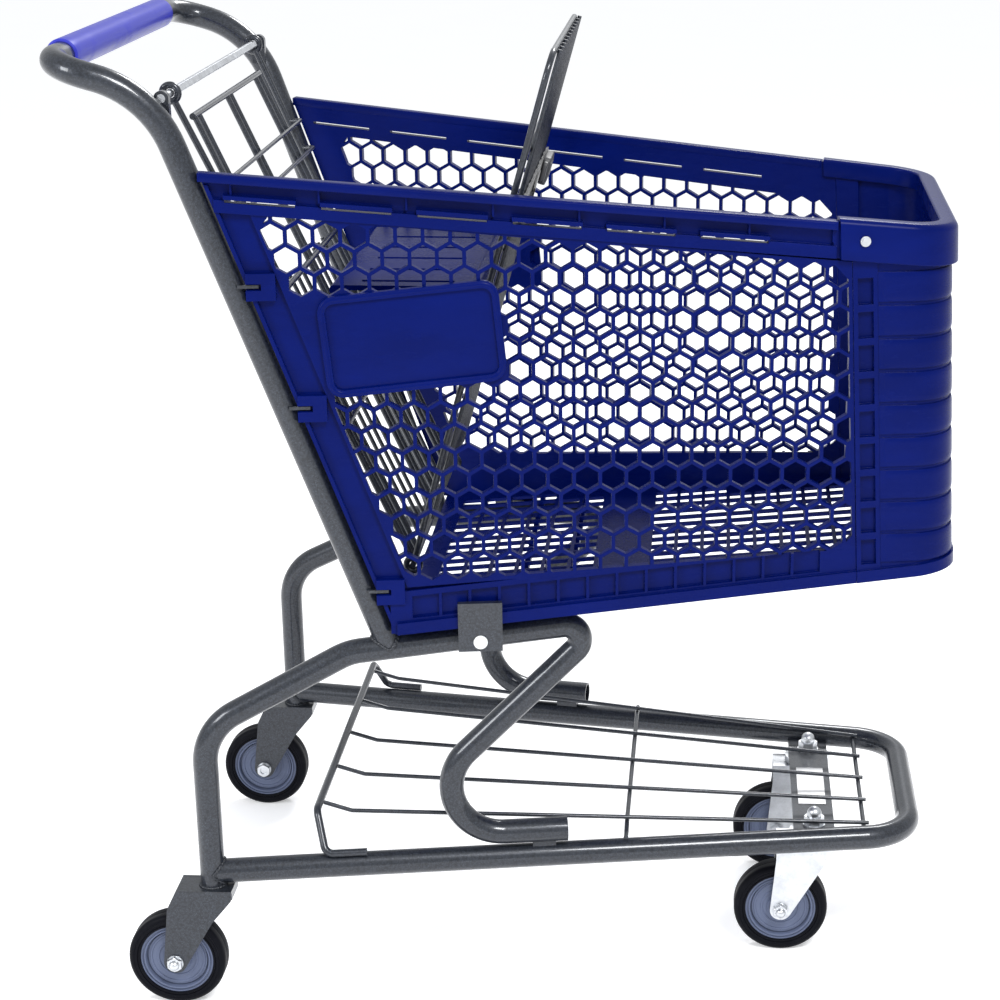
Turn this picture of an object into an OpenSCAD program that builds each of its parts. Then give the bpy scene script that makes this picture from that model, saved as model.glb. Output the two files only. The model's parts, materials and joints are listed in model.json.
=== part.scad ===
// Shopping cart: a tubular steel chassis on four wheels, a moulded plastic basket with
// honeycomb sides, and a wire rear gate that carries a folding child seat.
// X points forward, Y to the left and Z up. Lengths along X are given from the rear axle,
// and from_axle() then moves them to the middle of the cart's footprint.

/* [Wheels] */
// Outer diameter of every wheel
wheel_d = 101.6; // [90:0.2:116]
// Width of the tyre
tyre_w = 26; // [18:1:30]
// Thickness of the tyre, from its seat on the hub to the tread
tyre_t = 12.4; // [8:0.2:16]
// Diameter of the wheel bolts
axle_d = 8; // [6:1:10]
// Distance from a front wheel's axle to the axis it swivels on
trail = 34; // [26:1:40]
// Diameter of the swivel's kingpin
kingpin_d = 12; // [10:1:14]

/* [Steel tube] */
// Outside diameter of every chassis tube
tube_d = 25.4; // [20:0.2:30]
// Wall of the chassis tubes
tube_wall = 2; // [1.2:0.1:3]

/* [Chassis] */
// Distance from the middle of the cart to the side frame, at the rear axle
rear_half_w = 251; // [235:1:290]
// Angle at which each side frame closes in towards the front
side_angle = 9.3; // [7:0.1:10.5]
// Rear leg's distance in front of the rear axle
leg_x = 41; // [38:1:46]
// Height of the rear leg's foot
leg_foot_z = 134; // [130:1:140]
// Height of the base frame's tube
rail_z = 148.5; // [147:0.5:156]
// Middle of the base frame's front tube
front_tube_x = 766.5; // [700:0.5:860]
// Height of the knee where the rear leg turns forward
knee_z = 307; // [295:1:320]
// Slope of the chassis tube below the basket
floor_slope = 5.3; // [4:0.1:6.5]
// Where the chassis tube turns level with the basket
shelf_x = 188; // [180:1:200]
// Height of the chassis tube at that place
shelf_z = 384.5; // [378:0.5:392]
// Front turn of the chassis tube
turn_x = 446; // [430:1:460]
// Angle of the tube that runs back down from the front turn
brace_angle = 44; // [41:1:47]
// Front end of the chassis tube's foot
foot_end_x = 404; // [390:1:440]

/* [Handle] */
// Angle of the uprights from the vertical
upright_lean = 19.8; // [18:0.1:21]
// Place along X where the upright meets the chassis tube
upright_foot_x = 229; // [222:1:236]
// Height at which the upright turns back to the handle
handle_turn_z = 940; // [895:1:980]
// Distance of the cross bar behind the rear axle
handle_back = 62; // [50:1:80]
// Slope of the handle's arms
handle_slope = 16; // [12:0.5:24]
// Length of the plastic grip
grip_len = 392; // [300:1:400]
// Wall of the plastic grip
grip_wall = 2.8; // [2:0.2:5]

/* [Basket] */
// Half width of the basket's outer wall, at the rear axle's place along X
basket_half_w = 262.4; // [255:0.2:268]
// Angle at which each basket wall closes in towards the front
wall_angle = 7.26; // [6.9:0.01:7.6]
// Place along X of the rear end of the rim
rim_rear_x = 72; // [70:1:76]
// Height of the rim's rear end
rim_rear_z = 869; // [845:1:900]
// Slope of the rim, down towards the front
rim_slope = 5.2; // [4:0.1:6.2]
// Front face of the basket
basket_front_x = 784; // [760:1:850]
// Backward lean of the basket's front
front_lean = 2.8; // [1:0.1:4]
// Depth of the side walls, from the outer face to the inner face
wall_t = 8; // [6:0.5:10]
// Thickness of the plain plate between the ribs
skin_t = 3.2; // [2.4:0.2:4.5]
// Distance from one honeycomb cell to the next
cell_pitch = 25.4; // [24:0.2:32]
// Thickness of the honeycomb walls
cell_wall = 3.4; // [2.6:0.2:5]
// Radius of the basket's front corners
corner_r = 46; // [40:1:54]
// Number of moulded bands up the front
front_bands = 9; // [5:1:10]

/* [Rear gate and child seat] */
// Height of the hinge that the gate hangs from
gate_z = 933; // [900:1:960]
// Place along X of that hinge
gate_x = 38.5; // [36:0.5:44]
// Lean of the gate from the vertical
gate_lean = 24.3; // [23:0.1:25]
// Length of the gate, from its hinge to the seat's hinge
gate_len = 514; // [480:1:530]
// Half width of the gate at its foot, to the middle of its side wires
gate_half_w = 172; // [160:1:174]
// Half width of the gate at its hinge
gate_top_half_w = 198; // [180:1:202]
// Length of the seat's back
seat_len = 524; // [470:1:530]
// Forward lean of the seat's back
seat_lean = 16; // [14:0.5:17]
// Distance of the seat flap above the seat's hinge, along the back
flap_height = 283; // [270:1:300]
// Length of the seat flap
flap_len = 140; // [115:1:142]
// Diameter of the frame wires
frame_wire_d = 6.4; // [5:0.2:8]
// Diameter of the thin wires
wire_d = 4.4; // [3.4:0.2:5]
// Distance between the gate's thin wires
wire_pitch = 28; // [24:1:36]

/* [Lower rack] */
// Height of the raised hoop at the rear of the rack
hoop_z = 202; // [190:1:215]
// Place along X of that hoop
hoop_x = 145; // [130:1:160]
// Diameter of the hoop
hoop_d = 8; // [6:0.5:10]
// Number of wires from the hoop to the front
rack_wires_n = 5; // [3:1:7]
// Half distance between the outermost wires, at the rear
rack_half_w = 184; // [150:1:188]

/* [Clearances] */
// Radial clearance of a running fit
running = 0.05; // [0.02:0.01:0.1]
// Gap between pieces that lie together without rubbing
gap = 0.4; // [0.3:0.1:1]
// Gap at a welded or moulded joint
seam = 0.1; // [0.05:0.05:0.3]

/* [Hidden] */

$fn = 48;
far = 2000;            // longer than anything it cuts
steel = [0.32, 0.34, 0.36];
zinc = [0.78, 0.80, 0.82];
blue = [0.03, 0.06, 0.55];

tube_r = tube_d / 2;
cap_out = 8;                                             // front cap, outside the basket wall
wheel_r = wheel_d / 2;

// ---- places that several pieces share ----

// Distance of the side frame from the middle, at x
function frame_half(x) = rear_half_w - x * tan(side_angle);
// Distance of the basket's outer wall from the middle, at x
function wall_half(x) = basket_half_w - x * tan(wall_angle);
// A point of the right-hand side frame
function on_frame(x, z) = [x, -frame_half(x), z];
// Height of the rim's top edge and of the basket's bottom edge, at x
function rim_z(x) = rim_rear_z - (x - rim_rear_x) * tan(rim_slope);
function base_z(x) = tube_shelf_z(x) + tube_r / cos(floor_slope) + base_lift;
// Height of the chassis tube's middle below the basket, at x
function tube_shelf_z(x) = shelf_z + (x - shelf_x) * tan(floor_slope);
// Place along X of the upright's middle, at height z
function upright_x(z) = upright_foot_x - (z - tube_shelf_z(upright_foot_x)) * tan(upright_lean);

base_lift = 7;                                           // floor above the chassis tube
spacer_t = 3;                                            // between the rail and the tube's foot
hub_r = wheel_r - tyre_t;
wheel_y = frame_half(leg_x);
rear_wheel = [0, -wheel_y, wheel_r];
kingpin_x = front_tube_x - 101.5;
kingpin_inset = 42;                                      // from the side frame to the kingpin
kingpin_y = frame_half(kingpin_x) - kingpin_inset;
front_wheel = [kingpin_x - trail, -kingpin_y, wheel_r];

flange_out = 4;                                          // basket's lower flange, outside the wall
lean_z = (base_z(basket_front_x) + rim_z(basket_front_x)) / 2;
front_edge = basket_front_x + flange_out / cos(front_lean);
// Foremost place, at the leaning front's lower edge, and rearmost place behind the axle
front_reach = front_edge + (lean_z - base_z(front_edge)) * tan(front_lean)
    / (1 + tan(floor_slope) * tan(front_lean));
rear_reach = handle_back + tube_r + grip_wall;
origin_x = (front_reach - rear_reach) / 2;

module from_axle() translate([-origin_x, 0, 0]) children();
module left() mirror([0, 1, 0]) children();
module both() {
    children();
    left() children();
}

// ---- bent tubes and wires ----

function unit(v) = v / norm(v);
// Length from a corner to the start of its bend, for directions a and b and radius r
function bend_reach(a, b, r) = r * tan(acos(max(-1, min(1, a * b))) / 2);

// Straight piece from p to q, hollow where wall is more than 0
module straight(p, q, d, wall) {
    v = q - p;
    translate(p) rotate([0, acos(v.z / norm(v)), atan2(v.y, v.x)]) difference() {
        cylinder(h = norm(v), d = d);
        if (wall > 0) translate([0, 0, -1]) cylinder(h = norm(v) + 2, d = d - 2 * wall);
    }
}

// A bend's wall is drawn this much thinner on each face, and it reaches this far into the
// straight pieces, so that they join as one solid
bend_slim = 0.04;
bend_overlap = 0.3;

// Arc of radius r at the corner c, from direction a to direction b
module bend(c, a, b, r, d, wall) {
    reach = bend_reach(a, b, r);
    extra = asin(bend_overlap / r);
    middle = c + unit(b - a) * norm([r, reach]);
    x = unit(c - a * reach - middle);
    z = cross(x, a);
    multmatrix([[x.x, a.x, z.x, middle.x], [x.y, a.y, z.y, middle.y],
                [x.z, a.z, z.z, middle.z], [0, 0, 0, 1]])
    rotate([0, 0, -extra]) rotate_extrude(angle = acos(max(-1, min(1, a * b))) + 2 * extra)
        translate([r, 0]) difference() {
            circle(d = d - 2 * bend_slim);
            if (wall > 0) circle(d = d - 2 * wall + 2 * bend_slim);
        }
}

// Tube along the corners in path, with one bend radius for each inner corner
module bent(path, radii, d, wall = 0) {
    last = len(path) - 1;
    way = [for (i = [0:last - 1]) unit(path[i + 1] - path[i])];
    cut = [for (i = [0:last]) i == 0 || i == last ? 0 : bend_reach(way[i - 1], way[i], radii[i - 1])];
    for (i = [0:last - 1])
        straight(path[i] + way[i] * cut[i], path[i + 1] - way[i] * cut[i + 1], d, wall);
    for (i = [1:last - 1]) bend(path[i], way[i - 1], way[i], radii[i - 1], d, wall);
}

// ---- chassis ----

knee = on_frame(leg_x, knee_z);
shelf = on_frame(shelf_x, shelf_z);
turn = on_frame(turn_x, tube_shelf_z(turn_x));
foot_z = rail_z + tube_d + spacer_t;
brace_foot_x = turn_x - (turn.z - foot_z) / tan(brace_angle);
leg_radii = [60, 60, 16, 54];

module chassis_tube_right() from_axle() color(steel)
    bent([on_frame(leg_x, leg_foot_z), knee, shelf, turn, on_frame(brace_foot_x, foot_z),
        on_frame(foot_end_x, foot_z)], leg_radii, tube_d, tube_wall);

// Solid lines of the chassis tube, for shaping what is welded to it
module leg_line() straight(on_frame(leg_x, leg_foot_z - 20), knee, tube_d + 2 * seam, 0);
module shelf_line() straight(shelf, turn, tube_d + 2 * seam, 0);

rail_front = on_frame(front_tube_x, rail_z);
base_bend_r = 55;

module base_frame() from_axle() color(steel) difference() {
    bent([on_frame(leg_x, rail_z), rail_front, [front_tube_x, -rail_front.y, rail_z],
        [leg_x, frame_half(leg_x), rail_z]], [base_bend_r, base_bend_r], tube_d, tube_wall);
    both() leg_line();
}

// Outline of the base frame's rails, for shaping what is welded between them
module rail_lines() both()
    straight(on_frame(leg_x, rail_z), rail_front, tube_d + 2 * seam, 0);

spacer_len = 24;
module foot_spacers() from_axle() color(steel) both() difference() {
    translate(on_frame(foot_end_x - spacer_len, rail_z)) rotate([0, 0, side_angle])
        translate([-spacer_len / 2, -5, 0]) cube([spacer_len, 10, foot_z - rail_z]);
    straight(on_frame(leg_x, rail_z), rail_front, tube_d, 0);
    straight(on_frame(brace_foot_x, foot_z), on_frame(foot_end_x + 9, foot_z), tube_d, 0);
}

// ---- handle ----

upright_turn = on_frame(upright_x(handle_turn_z), handle_turn_z);
bar_z = handle_turn_z + (handle_back + upright_turn.x) * tan(handle_slope);
bar_end = on_frame(-handle_back, bar_z);
upright_foot = on_frame(upright_foot_x, tube_shelf_z(upright_foot_x));
arm_len = norm(bar_end - upright_turn);
upright_bend_r = arm_len * 1.05;
bar_bend_r = arm_len * 0.385;

module handle_tube() from_axle() color(steel) difference() {
    bent([upright_foot, upright_turn, bar_end, [bar_end.x, -bar_end.y, bar_end.z],
        [upright_turn.x, -upright_turn.y, upright_turn.z],
        [upright_foot.x, -upright_foot.y, upright_foot.z]],
        [upright_bend_r, bar_bend_r, bar_bend_r, upright_bend_r], tube_d, tube_wall);
    both() shelf_line();
}

grip_r = tube_r + grip_wall;
grip_slit = 1.6;
module handle_grip() from_axle() color("mediumblue")
    translate([bar_end.x, 0, bar_end.z]) rotate([90, 0, 0]) difference() {
        cylinder(h = grip_len, r = grip_r, center = true);
        cylinder(h = grip_len + 2, r = tube_r + seam, center = true);
        rotate([0, 0, -42]) translate([grip_r - grip_slit, -grip_slit / 2, -grip_len / 2 - 1])
            cube([grip_slit * 2, grip_slit, grip_len + 2]);
    }

// ---- lower rack ----

rail_top = rail_z + tube_r;
foot_reach = tube_r + hoop_d / 2 + seam;                // from the rail's middle to the hoop's feet
foot_turn = 20;                                          // feet lie this far round the rail
hoop_inset = 22;                                         // corners of the hoop, inside the frame
hoop_corner = [hoop_x, -(frame_half(hoop_x) - hoop_inset), hoop_z];
cross_wire_d = 5;
rack_knee = [hoop_x + 33, hoop_z - 10];
rack_front_x = front_tube_x - 49;
rack_front_z = rail_z + 9.5;
rack_mid_x = 465;
front_narrow = frame_half(rack_front_x) / frame_half(rack_knee[0]) * 1.05;
rack_step = rack_wires_n > 1 ? 2 * rack_half_w / (rack_wires_n - 1) : 0;
// Height of the rack's wires, at x
function rack_wire_z(x) = rack_knee[1]
    + (x - rack_knee[0]) * (rack_front_z - rack_knee[1]) / (rack_front_x - rack_knee[0]);
under_wire = (wire_d + cross_wire_d) / 2 + seam;

// Place on a rail where the hoop's foot lies
function foot_pt(x) = [x, -frame_half(x) - foot_reach * sin(foot_turn), rail_z + foot_reach * cos(foot_turn)];
function mirrored(p) = [p.x, -p.y, p.z];
module rack_hoop() from_axle() color(steel) bent([foot_pt(hoop_x + 54), foot_pt(hoop_x + 12),
    hoop_corner, mirrored(hoop_corner), mirrored(foot_pt(hoop_x + 12)),
    mirrored(foot_pt(hoop_x + 54))], [10, 12, 12, 10], hoop_d);

module rack_wires() from_axle() color(steel) for (i = [0:rack_wires_n - 1]) {
    y = -rack_half_w + i * rack_step;
    away = unit([rack_knee[0], rack_knee[1]] - [hoop_x, hoop_z]) * (hoop_d / 2 + seam);
    bent([[hoop_x + away[0], y, hoop_z + away[1]], [rack_knee[0], y, rack_knee[1]],
        [rack_front_x + cross_wire_d, y * front_narrow, rack_wire_z(rack_front_x + cross_wire_d)]],
        [8], wire_d);
}

module rack_cross_wires() from_axle() color(steel) {
    mid_z = rack_wire_z(rack_mid_x) - under_wire;
    side_y = frame_half(rack_mid_x);
    end_z = rail_top + cross_wire_d / 2 + seam;
    bent([[rack_mid_x, -side_y - 2, end_z], [rack_mid_x, -side_y + 8, end_z],
        [rack_mid_x, -side_y + 26, mid_z], [rack_mid_x, side_y - 26, mid_z],
        [rack_mid_x, side_y - 8, end_z], [rack_mid_x, side_y + 2, end_z]], [8, 8, 8, 8], cross_wire_d);
    difference() {
        front_z = rack_wire_z(rack_front_x) - under_wire;
        straight([rack_front_x, -frame_half(rack_front_x), front_z],
            [rack_front_x, frame_half(rack_front_x), front_z], cross_wire_d, 0);
        rail_lines();
    }
}

// ---- front caster mounting ----

plate_t = 5;
plate_w = 44;
plate_top = rail_z - 2.5;
module caster_plate() from_axle() color(steel) difference() {
    rear = kingpin_x - plate_w / 2;
    front = kingpin_x + plate_w / 2;
    translate([0, 0, plate_top - plate_t]) linear_extrude(plate_t)
        polygon([[rear, -frame_half(rear)], [front, -frame_half(front)],
            [front, frame_half(front)], [rear, frame_half(rear)]]);
    rail_lines();
    both() at_kingpin() translate([0, 0, plate_top - plate_t - 1])
        cylinder(h = plate_t + 2, d = kingpin_d + 2 * seam);
}

label_w = 30;
label_len = 96;
label_t = 0.5;
module blank_label() from_axle() color("gainsboro")
    translate([kingpin_x - label_w / 2, -label_len / 2, plate_top + seam]) cube([label_w, label_len, label_t]);

race_r = 26;
race_h = 8;
race_bottom = plate_top - plate_t - race_h;
crown_t = 4;
crown_top = race_bottom - gap;
module at_kingpin() translate([kingpin_x, -kingpin_y, 0]) children();

module kingpin_right() from_axle() color(zinc) at_kingpin() {
    head_top = crown_top - crown_t - gap;
    translate([0, 0, head_top - 7]) cylinder(h = 7, d = kingpin_d * 1.7);
    translate([0, 0, head_top - 1]) cylinder(h = plate_top - head_top + 6, d = kingpin_d - 2 * running);
    translate([0, 0, plate_top + seam]) cylinder(h = 2, d = kingpin_d * 2);
    translate([0, 0, plate_top + 2]) cylinder(h = 9, d = kingpin_d * 1.8, $fn = 6);
    translate([0, 0, plate_top + 10]) cylinder(h = 4, d = kingpin_d * 1.3);
    translate([0, 0, plate_top + 14]) intersection() {
        sphere(d = kingpin_d * 1.3);
        cylinder(h = kingpin_d, d = 2 * kingpin_d);
    }
}

module swivel_race_right() from_axle() color(zinc) at_kingpin() rotate_extrude() difference() {
    union() {
        translate([0, race_bottom + 2]) square([race_r, race_h - 2 - seam]);
        translate([0, race_bottom]) square([race_r - 2, race_h - seam]);
        translate([race_r - 2, race_bottom + 2]) circle(r = 2, $fn = 32);
    }
    translate([-1, race_bottom - 1]) square([kingpin_d / 2 + seam + 1, race_h + 2]);
    translate([kingpin_d, race_bottom - 1]) square([race_r - 4 - kingpin_d, 4]);
}

// ---- wheels ----

fork_plate_t = 3;
rear_fork_in = tyre_w / 2 + 2.5;                         // wheel's middle to the fork's inner face
fork_bore_r = axle_d / 2 + seam;

// Side plate's outline, seen from the right with the axle at the origin
module rear_fork_outline() {
    rise = leg_foot_z - wheel_r;
    polygon([[-12, 0], [-5, rise * 0.74], [5.5, rise], [leg_x + 22, rise],
        [leg_x + 21, rise - 11], [leg_x, rise * 0.56], [10.4, -6]]);
    circle(r = 12);
}

// Side plates and top of the fork that holds one rear wheel
module rear_fork_right() from_axle() color(steel) difference() {
    union() {
        for (y = [-rear_fork_in - fork_plate_t, rear_fork_in])
            translate(rear_wheel + [0, y + fork_plate_t, 0]) rotate([90, 0, 0])
                linear_extrude(fork_plate_t) rear_fork_outline();
        translate(rear_wheel + [5.5, -rear_fork_in - 1, leg_foot_z - wheel_r - fork_plate_t])
            cube([leg_x + 16.5, 2 * rear_fork_in + 2, fork_plate_t - seam]);
        translate(rear_wheel + [leg_x + 19, -rear_fork_in - 1, leg_foot_z - wheel_r - 10])
            cube([fork_plate_t, 2 * rear_fork_in + 2, 9]);
    }
    translate(rear_wheel + [0, 100, 0]) rotate([90, 0, 0]) cylinder(h = 200, r = fork_bore_r);
}

// Bolt through a wheel at place, across forks whose outer faces are half_w from the middle
module wheel_bolt(place, half_w) translate(place) rotate([90, 0, 0]) {
    cylinder(h = 2 * half_w + 7, d = axle_d, center = true);
    translate([0, 0, half_w + seam]) cylinder(h = 1.4, d = axle_d * 2.1);
    translate([0, 0, half_w + 1.4]) cylinder(h = axle_d * 0.62, d = axle_d * 1.85, $fn = 6);
    translate([0, 0, -half_w - 1.4 - seam]) cylinder(h = 1.4, d = axle_d * 2.1);
    translate([0, 0, -half_w - 1.4 - axle_d * 0.75]) cylinder(h = axle_d * 0.75, d = axle_d * 1.85, $fn = 6);
}

module rear_axle_right() from_axle() color(zinc) wheel_bolt(rear_wheel, rear_fork_in + fork_plate_t);

bearing_d = 22;
bearing_w = 7;
hub_w = tyre_w - 4;
boss_r = 14.5;
tread_r = min(5.5, tyre_t / 2 - 0.5);                    // rounding of the tyre's shoulders

module around(place) translate(place) rotate([90, 0, 0]) rotate_extrude($fn = 96) children();

module tyre(place) color([0.04, 0.04, 0.045]) around(place) difference() {
    union() {
        translate([hub_r, -tyre_w / 2]) square([tyre_t - tread_r, tyre_w]);
        translate([hub_r, -tyre_w / 2 + tread_r]) square([tyre_t, tyre_w - 2 * tread_r]);
        for (s = [-1, 1]) translate([wheel_r - tread_r, s * (tyre_w / 2 - tread_r)]) circle(r = tread_r, $fn = 32);
    }
    for (s = [-1, 1]) translate([hub_r + 2.2, s * tyre_w / 2]) circle(r = 0.9, $fn = 24);
}

module hub(place) color([0.40, 0.42, 0.52]) around(place) difference() {
    translate([axle_d / 2 + 2, -hub_w / 2]) square([hub_r - axle_d / 2 - 2, hub_w]);
    for (s = [-1, 1]) {
        translate([boss_r, s > 0 ? hub_w / 2 - 4 : -hub_w / 2 - 1]) square([hub_r - boss_r - 4.4, 5]);
        translate([0, s > 0 ? hub_w / 2 - bearing_w : -hub_w / 2 - 1]) square([bearing_d / 2, bearing_w + 1]);
        translate([hub_r - 2.8, s * hub_w / 2]) circle(r = 0.8, $fn = 24);
    }
}

module bearings(place) color("silver") around(place) for (s = [-1, 1])
    translate([axle_d / 2 + running, s > 0 ? hub_w / 2 - bearing_w + seam : -hub_w / 2])
        difference() {
            square([bearing_d / 2 - axle_d / 2 - running - seam, bearing_w - seam]);
            translate([2, s > 0 ? bearing_w - 1 : -0.4]) square([3, 1]);
        }

module rear_tyre_right() from_axle() tyre(rear_wheel);
module rear_hub_right() from_axle() hub(rear_wheel);
module rear_bearings_right() from_axle() bearings(rear_wheel);
module front_tyre_right() from_axle() tyre(front_wheel);
module front_hub_right() from_axle() hub(front_wheel);
module front_bearings_right() from_axle() bearings(front_wheel);

caster_fork_in = tyre_w / 2 + 2;
caster_plate_t = 2.5;
crown_back = 6;                                          // crown behind the axle
crown_front = trail + 22;                                // crown in front of the axle

module caster_fork_outline() {
    rise = crown_top - wheel_r;
    polygon([[-11.5, 0], [-crown_back, rise * 0.72], [-crown_back, rise], [crown_front, rise],
        [crown_front, rise - 9], [10, -6]]);
    circle(r = 11.5);
}

module caster_fork_right() from_axle() color(zinc) difference() {
    union() {
        for (y = [-caster_fork_in - caster_plate_t, caster_fork_in])
            translate(front_wheel + [0, y + caster_plate_t, 0]) rotate([90, 0, 0])
                linear_extrude(caster_plate_t) caster_fork_outline();
        translate(front_wheel + [-crown_back, -caster_fork_in - 1, crown_top - crown_t - wheel_r])
            cube([crown_back + crown_front, 2 * caster_fork_in + 2, crown_t]);
        at_kingpin() translate([0, 0, crown_top - crown_t]) cylinder(h = crown_t, r = race_r - 3);
    }
    translate(front_wheel + [0, 100, 0]) rotate([90, 0, 0]) cylinder(h = 200, r = fork_bore_r);
    at_kingpin() translate([0, 0, crown_top - crown_t - 1]) cylinder(h = crown_t + 2, d = kingpin_d);
}

module caster_axle_right() from_axle() color(zinc) wheel_bolt(front_wheel, caster_fork_in + caster_plate_t);

// ---- basket ----

edge_gap = 2.5;                                          // between upright and basket
function rear_edge_x(z) = upright_x(z) + tube_r / cos(upright_lean) + edge_gap;
// Distance along the basket wall for a place along X
function along(x) = x / cos(wall_angle);
function wall_pt(x, z) = [along(x), z];

join_x = basket_front_x - 97;                            // side panels end, front panel starts
lip_out = 6;                                             // rim's lip, outside the wall
lip_h = 8;
band_h = 44;                                             // height of the pocketed band at the base
flange_h = 12;
window_top = 37;                                         // window below the rim
window_front_x = join_x - 3;
window_rear = 35;                                        // window behind the rear edge
window_round = 14;

// Turns what leans back with the basket's front, about the middle of its height
module leaning() translate([basket_front_x, 0, lean_z]) rotate([0, -front_lean, 0])
    translate([-basket_front_x, 0, -lean_z]) children();

// Everything ahead of the leaning plane at x
module ahead(x) leaning() translate([x, -far / 2, -far / 4]) cube(far);
// Place along X of the joint between a side panel and the front, at height z
function join_at(z) = join_x + (lean_z - z) * tan(front_lean);

// Right-hand wall's own frame: X along the wall, Y inwards from the outer face, Z up
module on_wall() translate([0, -basket_half_w, 0]) rotate([0, 0, wall_angle]) children();

// Plate between the depths d0 and d1 with the outline of its children, drawn as [along, height]
module wall_plate(d0, d1) on_wall() translate([0, d1, 0]) rotate([90, 0, 0])
    linear_extrude(d1 - d0) children();

// Box on the wall, centred at x and z
module wall_box(x, z, w, h, d0, d1) on_wall()
    translate([along(x) - w / 2, d0, z - h / 2]) cube([w, d1 - d0, h]);

// Where the slanted rear edge, moved forward by dx, crosses the basket's sloping base or rim
function rear_base_z(dx) = base_z(rear_edge_x(base_z(upright_foot_x)) + dx);
function rear_base_x(dx) = rear_edge_x(rear_base_z(0)) + dx;
function rear_rim_x(dx) = rear_edge_x(rim_rear_z) + dx;

// Strip along the rim, from top to bottom below its top edge, between x0 and x1
module rim_strip(top, bottom, x0, x1) polygon([wall_pt(x0, rim_z(x0) - bottom),
    wall_pt(x1, rim_z(x1) - bottom), wall_pt(x1, rim_z(x1) - top), wall_pt(x0, rim_z(x0) - top)]);

// Strip along the base, from bottom to top above its lower edge
module base_strip(bottom, top, x0, x1) polygon([wall_pt(x0, base_z(x0) + bottom),
    wall_pt(x1, base_z(x1) + bottom), wall_pt(x1, base_z(x1) + top), wall_pt(x0, base_z(x0) + top)]);

panel_end = join_x + 20;                                 // before the leaning end is cut
cap_lap = 12;                                            // cap's reach back over the side panels
cap_start_x = join_x - cap_lap - (rim_z(join_x) - lean_z) * tan(front_lean) - 2;
skin_in = 2;                                             // plate's edges, inside the rim and the flange
module panel_outline() polygon([wall_pt(rear_base_x(0), rear_base_z(0) + skin_in),
    wall_pt(panel_end, base_z(panel_end) + skin_in), wall_pt(panel_end, rim_z(panel_end) - skin_in),
    wall_pt(rear_rim_x(0), rim_z(rear_rim_x(0)) - skin_in)]);

window_base_rear = rear_base_z(window_rear) + 50;
window_base_front = base_z(window_front_x) + 36;
window_corners = [
    [rear_edge_x(window_base_rear) + window_rear, window_base_rear],
    [join_at(window_base_front) - 4, window_base_front],
    [join_at(rim_z(window_front_x) - window_top) - 4, rim_z(window_front_x) - window_top - 4],
    [rear_rim_x(window_rear) + window_top * tan(upright_lean),
        rim_z(rear_rim_x(window_rear)) - window_top]];

// Corner i of the window, moved by s towards each neighbour
function toward(i, j, s) = let (a = window_corners[i], b = window_corners[j]) a + unit(b - a) * s;

// Window outline with cut corners, drawn as [along, height]
module window_outline() polygon([for (i = [0:3]) for (p = [toward(i, (i + 3) % 4, window_round),
    toward(i, (i + 1) % 4, window_round)]) wall_pt(p.x, p.y)]);

// True where p is inside the window by at least m
function in_window(p, m) = min([for (i = [0:3])
    let (a = window_corners[i], b = window_corners[(i + 1) % 4], d = unit(b - a))
    d.x * (p.y - a.y) - d.y * (p.x - a.x)]) > m;

pad_x = 263;
pad_z = 709;
pad_w = 172;
pad_h = 98;
pad_round = 16;
pad_rim = 7;                                             // width of the pad's raised edge
pad_out = 5;
pad_face = 1.5;                                          // pad's face, outside the wall

// True where p is covered by the sign pad, or by the closed skin behind it
function on_pad(p) = let (d = p - [pad_x, pad_z],
    u = d.x * cos(floor_slope) + d.y * sin(floor_slope), v = d.y * cos(floor_slope) - d.x * sin(floor_slope))
    abs(v) < pad_h / 2 - 4 && u < pad_w / 2 - 2;

module pad_outline(inset) {
    w = pad_w / 2 - inset;
    h = pad_h / 2 - inset;
    r = max(pad_round - inset, 4);
    translate(wall_pt(pad_x, pad_z)) rotate(floor_slope) {
        square([2 * w - 2 * r, 2 * h], center = true);
        square([2 * w, 2 * h - 2 * r], center = true);
        for (x = [-1, 1]) for (y = [-1, 1]) translate([x * (w - r), y * (h - r)]) circle(r = r);
    }
}

clip_heights = [base_z(upright_foot_x) + 46, (rim_rear_z + base_z(upright_foot_x)) / 2 + 4, rim_rear_z - 108];
clip_w = 28;
clip_h = 26;
clip_out = 3;
bar_pitch = 88;                                          // ledges below the rim
bar_len = 66;
bar_from_x = rim_rear_x + 22;
rib_pitch = 80;
pocket_pitch = 29;
cell_row = cell_pitch * sqrt(3) / 2;
cell_r = (cell_pitch - cell_wall) / sqrt(3);

module honeycomb() for (row = [0:ceil((rim_rear_z - base_z(0)) / cell_row)]) {
    z = base_z(rim_rear_x) + 40 + row * cell_row;
    for (col = [0:ceil(join_x / cell_pitch)]) {
        x = rim_rear_x + (col + (row % 2) / 2) * cell_pitch;
        p = [x, z];
        if (in_window(p, -cell_r * 0.55) && !on_pad(p)) {
            if (in_window(p, cell_r + 3) && norm(p - window_corners[3]) > 2 * window_round)
                cell(p);
            else intersection() {
                cell(p);
                wall_plate(-2, wall_t + 2) window_outline();
            }
        }
    }
}

module cell(p) on_wall() translate([along(p.x), -3, p.y]) rotate([-90, 30, 0])
    cylinder(h = wall_t + 6, r = cell_r, $fn = 6);

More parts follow.
